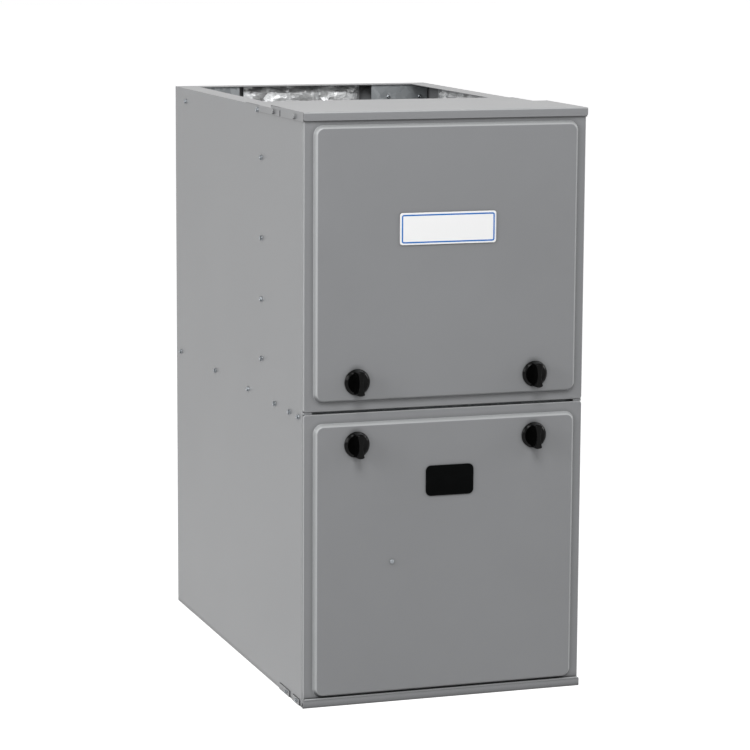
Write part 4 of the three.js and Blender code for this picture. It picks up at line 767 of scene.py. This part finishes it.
for name in ("knob_upper_left", "knob_upper_right", "knob_lower_left", "knob_lower_right"):
    knob = object_from(knob_skin(name), name + "_moulding", 38)
    level_shading(knob)
    fit_piece(knob, name, knob_black)
    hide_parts(name)
print("knobs: 4")

# %% [markdown]
# ## The sight window and the badge
# The window is a smoked plastic plug: a flange lies on the door and a body fills the
# hole. Its edge is softly rounded. The badge is a thin white plate with a blue line
# round it, and it is left bare.


# %% Window and badge
def plate(left, right, low, high, radius, back, front, edge):
    """A thin plate with a rounded front edge, facing -Y."""
    rings = [rounded_ring(left, right, low, high, radius, back, 8)]
    for k in range(5):
        turn = math.radians(22.5 * k)
        inset = edge * (1 - math.cos(turn))
        y = front + edge * (1 - math.sin(turn))
        rings.append(rounded_ring(left + inset, right - inset, low + inset, high - inset,
                                  radius - inset, y, 8))
    return skin_of(rings)


window = plate(window_low.x, window_high.x, window_low.z, window_high.z, 8 * MM,
               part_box("lower_door")[0].y - 0.3 * MM, window_low.y, 0.8 * MM)
plug = plate(window_low.x + 3.3 * MM, window_high.x - 3.3 * MM, window_low.z + 3.3 * MM,
             window_high.z - 3.3 * MM, 4.7 * MM, window_high.y, window_low.y + 1 * MM, 0.1 * MM)
merge_into(window, plug)
window = level_shading(object_from(window, "sight_window"))
fit_piece(window, "lower_door", window_black)
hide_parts("sight_glass")

badge_low, badge_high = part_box("badge_plate")
badge = object_from(plate(badge_low.x, badge_high.x, badge_low.z, badge_high.z, 4 * MM,
                          badge_high.y, badge_low.y + 0.06 * MM, 0.5 * MM), "badge")
fit_piece(level_shading(badge), "upper_door", badge_white)
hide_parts("badge_plate")


def line_round(left, right, low, high, radius, wide, back, front):
    """A flat line that runs round a rounded rectangle."""
    outer = [rounded_ring(left, right, low, high, radius, y, 8) for y in (back, front)]
    inner = [rounded_ring(left + wide, right - wide, low + wide, high - wide, radius - wide, y, 8)
             for y in (front, back)]
    line = bmesh.new()
    rows = [[line.verts.new(point) for point in ring] for ring in outer + inner]
    for a in range(4):
        first, second = rows[a], rows[(a + 1) % 4]
        for k in range(len(first)):
            after = (k + 1) % len(first)
            line.faces.new((first[k], first[after], second[after], second[k]))
    bmesh.ops.recalc_face_normals(line, faces=line.faces)
    return line


LINE_INSET = 2.6 * MM
LINE_WIDTH = 2.1 * MM
border = object_from(line_round(badge_low.x + LINE_INSET, badge_high.x - LINE_INSET,
                                badge_low.z + LINE_INSET, badge_high.z - LINE_INSET,
                                3.4 * MM, LINE_WIDTH,
                                badge_low.y + 0.3 * MM, badge_low.y), "badge_border")
fit_piece(border, "upper_door", badge_blue)
print("window and badge ready")

# %% [markdown]
# ## Screws
# The cabinet is held by zinc-plated hexagon screws with a washer face. Their heads are
# small but there are rows of them down the side, so one mesh is made with care, with a
# chamfered hexagon and a shallow dimple, and then every screw shares it.


# %% Build one screw and place the rows
def hexagon_radius(turn, across):
    """Distance from the middle to the side of a hexagon in direction turn."""
    from_corner = (turn + math.pi / 6) % (math.pi / 3) - math.pi / 6
    return across / 2 / math.cos(from_corner)


def screw_skin(across=6.4, washer=4.2, tall=3.4, sides=36):
    """A screw head in millimetres: width across flats, washer radius and height."""
    sections = [("round", washer, -0.4), ("round", washer, 0.45), ("round", washer - 0.25, 0.75),
                ("hex", across, 1.0), ("hex", across, tall - 0.55), ("hex", across - 0.9, tall - 0.12),
                ("round", across / 2 - 0.75, tall), ("round", across / 2 - 1.25, tall - 0.05),
                ("round", across / 2 - 1.6, tall - 0.55), ("round", 0.02, tall - 0.7)]
    rings = []
    for kind, size, up in sections:
        ring = []
        for k in range(sides):
            turn = 2 * math.pi * k / sides
            reach = hexagon_radius(turn, size) if kind == "hex" else size
            ring.append(Vector((reach * math.cos(turn), reach * math.sin(turn), up)) * MM)
        rings.append(ring)
    return skin_of(rings)


screw_model = object_from(screw_skin(), "screw_model", 30)
screw_mesh = screw_model.data
bpy.data.objects.remove(screw_model)
screws = []


def drive_screw(name, point, facing, turn, body="cabinet", size=1.0):
    """Places a screw with its washer on point, looking along facing."""
    screw = bpy.data.objects.new(name, screw_mesh)
    bpy.context.scene.collection.objects.link(screw)
    aim = Vector(facing).to_track_quat("Z", "Y").to_matrix().to_4x4()
    screw.matrix_world = (Matrix.Translation(point) @ aim @ Matrix.Rotation(turn, 4, "Z")
                          @ Matrix.Scale(size, 4))
    screws.append(screw)
    return fit_piece(screw, body, zinc_plate)


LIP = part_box("top_front_cap")[0].y
side_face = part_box("casing")[1].x
skirt_face = side_face + 1.3 * MM
SILL_SCREWS = (34.6, 85.6)
DOOR_SCREW = (-84.25, 217)
BAFFLE_SCREWS = ((148, 862), (204, 862), (-148, 862), (-204, 862))
# Each side screw: distance back from the lip, height, and how far its head is turned.
side_rows = [(220, 806, 0.2), (220, 683, 0.9), (220, 589, 0.5), (220, 497, 1.2), (660, 863, 0.3),
             (29.5, 438, 0.7), (73.5, 438, 0.1), (150, 438, 1.0), (293.5, 438, 0.4),
             (484, 438, 0.8), (699.5, 438, 0.6)]
for side, word in ((-1, "left"), (1, "right")):
    for number, (back, up, turn) in enumerate(side_rows, 1):
        drive_screw(f"{word}_screw_{number}", (side * side_face, LIP + back * MM, up * MM),
                    (side, 0, 0), turn)
    drive_screw(f"{word}_deck_screw", (side * side_face, LIP + 240 * MM, 877 * MM),
                (side, 0, 0), 0.5)
    for number, back in enumerate(SILL_SCREWS, 1):
        drive_screw(f"{word}_sill_screw_{number}", (side * skirt_face, LIP + back * MM, 4.8 * MM),
                    (side, 0, 0), 0.4 * number, size=0.75)
door_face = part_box("lower_door")[0].y
drive_screw("lower_door_screw", (DOOR_SCREW[0] * MM, door_face, DOOR_SCREW[1] * MM),
            (0, -1, 0), 0.35, "lower_door", 0.8)
baffle_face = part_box("rear_baffle_right")[0].y
for number, (x, up) in enumerate(BAFFLE_SCREWS, 1):
    drive_screw(f"baffle_screw_{number}", (x * MM, baffle_face, up * MM), (0, -1, 0),
                0.3 * number, size=0.8)
print("screws:", len(screws))

# %% [markdown]
# The cap's plate reaches further back than its side skirts. Its edge is turned down there
# by the height of the step, so nobody looks in under the plate from the side.

# %% Turned-down edges of the cap
CAP_SKIRT_END = 117 * MM
CAP_DEPTH = 165 * MM
CAP_STEP = 4.7 * MM
cap_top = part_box("top_front_cap")[1].z
side_skirt = 222.25 * MM
for side, word in ((-1, "left"), (1, "right")):
    near, far = sorted((side * side_skirt, side * (side_skirt - 1 * MM)))
    edge = object_from(block((near, LIP + CAP_SKIRT_END - 0.5 * MM, cap_top - CAP_STEP),
                             (far, LIP + CAP_DEPTH, cap_top)), f"cap_edge_{word}")
    fit_piece(edge, "cabinet", grey_paint)
print("cap edges: 2")

# %% [markdown]
# Two small folds finish the front. At both ends of the seam between the doors a grey
# flange of the casing shows in the gap, and the sill's top edge is hemmed, so that it is
# round and catches the light. A block with rounded edges is enough for each.


# %% Seam ends and sill hem
def soft_block(name, low, high, bend):
    """A painted block with rounded edges."""
    piece = object_from(block(low, high), name)
    rounding = piece.modifiers.new("bend", "BEVEL")
    rounding.width = bend
    rounding.segments = 3
    return fit_piece(piece, "cabinet", grey_paint)


seam = (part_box("lower_door")[1].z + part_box("upper_door")[0].z) / 2
SEAM_FLANGE = (207.5 * MM, 220.4 * MM)
SEAM_HALF = 1.9 * MM
HEM_REACH = 220 * MM
HEM_BEND = 1.3 * MM
for side, word in ((-1, "left"), (1, "right")):
    near, far = sorted(side * x for x in SEAM_FLANGE)
    soft_block(f"seam_flange_{word}", (near, LIP + 5.2 * MM, seam - SEAM_HALF),
               (far, LIP + 11.3 * MM, seam + SEAM_HALF), 0.4 * MM)
soft_block("sill_hem", (-HEM_REACH, LIP - 0.6 * MM, 11.2 * MM),
           (HEM_REACH, LIP + 2.2 * MM, 14.6 * MM), HEM_BEND)
print("seam ends: 2, hem: 1")

# %% [markdown]
# ## Foil insulation
# Through the open top the light falls on foil-faced blankets. Foil folds into sharp flat
# facets of every size. Each blanket is a fine grid pushed in and out by ridged noise, with
# flat shading, inside the space that the plain slab held.


# %% Crumple the blankets
FOLDS_PER_METRE = 26


def crumple(place, seed):
    """How far foil stands in at a place, from 0 to 1, in sharp folds of three sizes."""
    p = place * FOLDS_PER_METRE + Vector((seed, 2.3 * seed, 0.7 * seed))
    large = abs(noise.noise(p))
    folds = abs(noise.noise(Vector((p.x * 2.2, p.y * 2.2, p.z * 0.8)) + Vector((7, 1, 3))))
    small = abs(noise.noise(p * 4.6))
    return min(1.0, 1.25 * large + 0.5 * folds + 0.16 * small)


def blanket(node, along, inward, seed, pitch=4.2):
    """A foil-faced blanket whose inner face is crumpled."""
    low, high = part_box(node)
    across = (high - low)[along]
    tall = high.z - low.z
    columns = max(2, round(across / (pitch * MM)))
    rows = max(2, round(tall / (pitch * MM)))
    deep = 1 - along
    thick = (high - low)[deep]
    outer = high[deep] if inward < 0 else low[deep]
    sheet = bmesh.new()
    grid = []
    for j in range(rows + 1):
        line = []
        for i in range(columns + 1):
            point = Vector((0, 0, low.z + tall * j / rows))
            point[along] = low[along] + across * i / columns
            rim = min(i, columns - i, rows - j, 3) / 3
            reach = thick * (0.45 + 0.5 * crumple(point, seed)) * (0.55 + 0.45 * rim)
            point[deep] = outer + inward * reach
            jitter = Vector((0, 0, 0))
            if 0 < i < columns and 0 < j < rows:
                jitter[along] = 1.4 * MM * noise.noise(point * 400)
                jitter.z = 1.4 * MM * noise.noise(point * 400 + Vector((5, 5, 5)))
            line.append(sheet.verts.new(point + jitter))
        grid.append(line)
    for j in range(rows):
        for i in range(columns):
            a, b, c, d = grid[j][i], grid[j][i + 1], grid[j + 1][i + 1], grid[j + 1][i]
            if (i + j) % 2:
                sheet.faces.new((a, b, c))
                sheet.faces.new((a, c, d))
            else:
                sheet.faces.new((a, b, d))
                sheet.faces.new((b, c, d))
    border = [e for e in sheet.edges if len(e.link_faces) == 1]
    made = bmesh.ops.extrude_edge_only(sheet, edges=border)
    for vert in (g for g in made["geom"] if isinstance(g, bmesh.types.BMVert)):
        vert.co[deep] = outer
    bmesh.ops.holes_fill(sheet, edges=[e for e in sheet.edges if len(e.link_faces) == 1], sides=0)
    bmesh.ops.recalc_face_normals(sheet, faces=sheet.faces)
    return sheet


for node, along, inward, seed in (("insulation_rear", 0, -1, 1.0), ("insulation_left", 1, 1, 5.0),
                                  ("insulation_right", 1, -1, 9.0)):
    lining = object_from(blanket(node, along, inward, seed), node + "_foil", 7)
    fit_piece(lining, "cabinet", foil)
    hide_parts(node)
print("blankets: 3")

# %% [markdown]
# ## Heat-exchanger cells
# A cell is two pressed half-shells crimped together, with one flattened passage that
# doubles back twice. Its tops are the ridges seen deep in the opening. The passage is a
# skin through rounded sections that follow the serpentine, and the crimped rim is a thin
# plate round it.


# %% Build the cells
# The three passes get lower as the gas cools, and two half turns join them. All are
# shares of the cell's height.
PASS_SHARES = (0.31, 0.236, 0.184)
TURN_SHARES = (0.384, 0.31)
TOP_RIM = 8 * MM
REAR_RIM = 50 * MM
FRONT_RIM = 34 * MM
TURN_STEPS = 14


def serpentine(low, high):
    """Points along the passage: (y, z, heading, height)."""
    tall = high.z - low.z
    heights = [share * tall for share in PASS_SHARES]
    first, second = (share * tall for share in TURN_SHARES)
    top = high.z - TOP_RIM - heights[0] / 2
    rear = high.y - REAR_RIM - first / 2
    front = low.y + FRONT_RIM + second / 2
    points = [(low.y + (rear - low.y) * k / 6, top, 0.0, heights[0]) for k in range(7)]
    for k in range(1, TURN_STEPS):
        turn = math.pi * k / TURN_STEPS
        points.append((rear + first / 2 * math.sin(turn),
                       top - first / 2 + first / 2 * math.cos(turn),
                       -turn, heights[0] + (heights[1] - heights[0]) * k / TURN_STEPS))
    points += [(rear + (front - rear) * k / 6, top - first, -math.pi, heights[1]) for k in range(7)]
    for k in range(1, TURN_STEPS):
        turn = math.pi * k / TURN_STEPS
        points.append((front - second / 2 * math.sin(turn),
                       top - first - second / 2 + second / 2 * math.cos(turn),
                       -math.pi + turn,
                       heights[1] + (heights[2] - heights[1]) * k / TURN_STEPS))
    points += [(front + (high.y - front) * k / 8, top - first - second, 0.0, heights[2])
               for k in range(9)]
    return points


def cell_skin(node):
    """A heat-exchanger cell: the swept gas passage and the flat rim round its shells."""
    low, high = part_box(node)
    x = (low.x + high.x) / 2
    half = (high.x - low.x) / 2
    rings = []
    for y, z, heading, tall in serpentine(low, high):
        ring = []
        for k in range(20):
            turn = 2 * math.pi * k / 20
            across = half * math.copysign(abs(math.sin(turn)) ** 0.75, math.sin(turn))
            up = tall / 2 * math.copysign(abs(math.cos(turn)) ** 0.9, math.cos(turn))
            ring.append(Vector((x + across, y - up * math.sin(heading), z + up * math.cos(heading))))
        rings.append(ring)
    passage = skin_of(rings)
    rim = []
    for side in (-1, 1):
        ring = rounded_ring(0, high.y - low.y, low.z, high.z, 14 * MM, 0, 8)
        rim.append([Vector((x + side * 0.8 * MM, low.y + p.x, p.z)) for p in ring])
    merge_into(passage, skin_of(rim))
    return passage


for number in (1, 2, 3, 4):
    name = f"heat_exchanger_cell_{number}"
    cell = object_from(cell_skin(name), name + "_shells", 40)
    fit_piece(level_shading(cell), "cabinet", exchanger_steel)
    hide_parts(name)
print("cells: 4")

# %% [markdown]
# ## Studio
# The object stands on a pale floor against white. White is what the camera, the glossy
# metal and the window see. The light comes from a faint room glow and three soft lamps:
# one on the left, one on the right and one above the front, whose slanting light falls on
# the doors' bends, where the enamel also has a painted highlight. Two small bright lamps
# give the knobs and screws their glints.


# %% Floor and world
def seen_directly(tree):
    """1 for rays that see the backdrop itself: camera, glossy and transmission rays."""
    path = add(tree, "ShaderNodeLightPath")
    total = add(tree, "ShaderNodeMath", {0: path.outputs["Is Camera Ray"],
                                         1: path.outputs["Is Glossy Ray"]}, operation="MAXIMUM")
    return add(tree, "ShaderNodeMath", {0: total.outputs[0],
                                        1: path.outputs["Is Transmission Ray"]},
               operation="MAXIMUM").outputs[0]


ROOM_GLOW = 0.2
FLOOR_GREY = 0.42
FLOOR_GLOW = 0.88
world = bpy.data.worlds.new("white studio")
bpy.context.scene.world = world
world.use_nodes = True
tree = world.node_tree
tree.nodes.clear()
room = add(tree, "ShaderNodeBackground", {"Color": (0.98, 0.99, 1.0, 1), "Strength": ROOM_GLOW})
white = add(tree, "ShaderNodeBackground", {"Color": (1, 1, 1, 1), "Strength": 1.0})
choice = add(tree, "ShaderNodeMixShader", {0: seen_directly(tree), 1: room.outputs[0],
                                           2: white.outputs[0]})
add(tree, "ShaderNodeOutputWorld", {"Surface": choice.outputs[0]})

ground = bmesh.new()
bmesh.ops.create_grid(ground, x_segments=2, y_segments=2, size=30)
floor = object_from(ground, "studio_floor")
paper, tree, shader = new_finish("white floor")
shader.inputs["Base Color"].default_value = (FLOOR_GREY,) * 3 + (1,)
shader.inputs["Roughness"].default_value = 0.9
glow = add(tree, "ShaderNodeEmission", {"Color": (1, 1, 1, 1), "Strength": FLOOR_GLOW})
both = add(tree, "ShaderNodeAddShader", {0: shader.outputs[0], 1: glow.outputs[0]})
pick = add(tree, "ShaderNodeMixShader", {0: seen_directly(tree), 1: shader.outputs[0],
                                         2: both.outputs[0]})
tree.links.new(pick.outputs[0], tree.nodes["Material Output"].inputs["Surface"])
floor.data.materials.append(paper)
print("floor and world ready")


# %% Lamps
def softbox(name, place, target, size, power):
    """A rectangular lamp at a place, turned towards its target."""
    lamp = bpy.data.lights.new(name, "AREA")
    lamp.shape = "RECTANGLE"
    lamp.size, lamp.size_y = size
    lamp.energy = power
    holder = bpy.data.objects.new(name, lamp)
    bpy.context.scene.collection.objects.link(holder)
    holder.location = place
    holder.rotation_euler = (Vector(target) - Vector(place)).to_track_quat("-Z", "Y").to_euler()
    return holder


MIDDLE = (0, 0, 0.45)
softbox("lamp left", (-3.4, -1.4, 2.0), MIDDLE, (1.8, 1.8), 50)
softbox("lamp above the front", (-0.7, -2.3, 2.6), (-0.1, 0, 0.6), (1.4, 1.4), 50)
softbox("lamp right", (3.3, -0.8, 1.6), MIDDLE, (1.6, 1.6), 42)
softbox("glint right", (2.3, -2.4, 2.4), MIDDLE, (0.24, 0.24), 6)
softbox("glint left", (-3.2, -1.2, 1.4), MIDDLE, (0.1, 1.6), 8)
print("lamps: 5")

# %% [markdown]
# ## Camera
# The camera stands to the left of the cabinet's front, a little above its top, far
# enough back that the uprights stay nearly upright in the picture.

# %% Camera
camera_data = bpy.data.cameras.new("camera")
camera_data.sensor_width = 36
camera_data.lens = 139.97
camera = bpy.data.objects.new("camera", camera_data)
bpy.context.scene.collection.objects.link(camera)
camera.location = (-1.4769, -4.3788, 1.1833)
camera.rotation_euler = [math.radians(a) for a in (80.870, -0.306, -18.681)]
bpy.context.scene.camera = camera
bpy.context.scene.view_settings.view_transform = "Standard"
print("camera at", [round(v, 3) for v in camera.location])
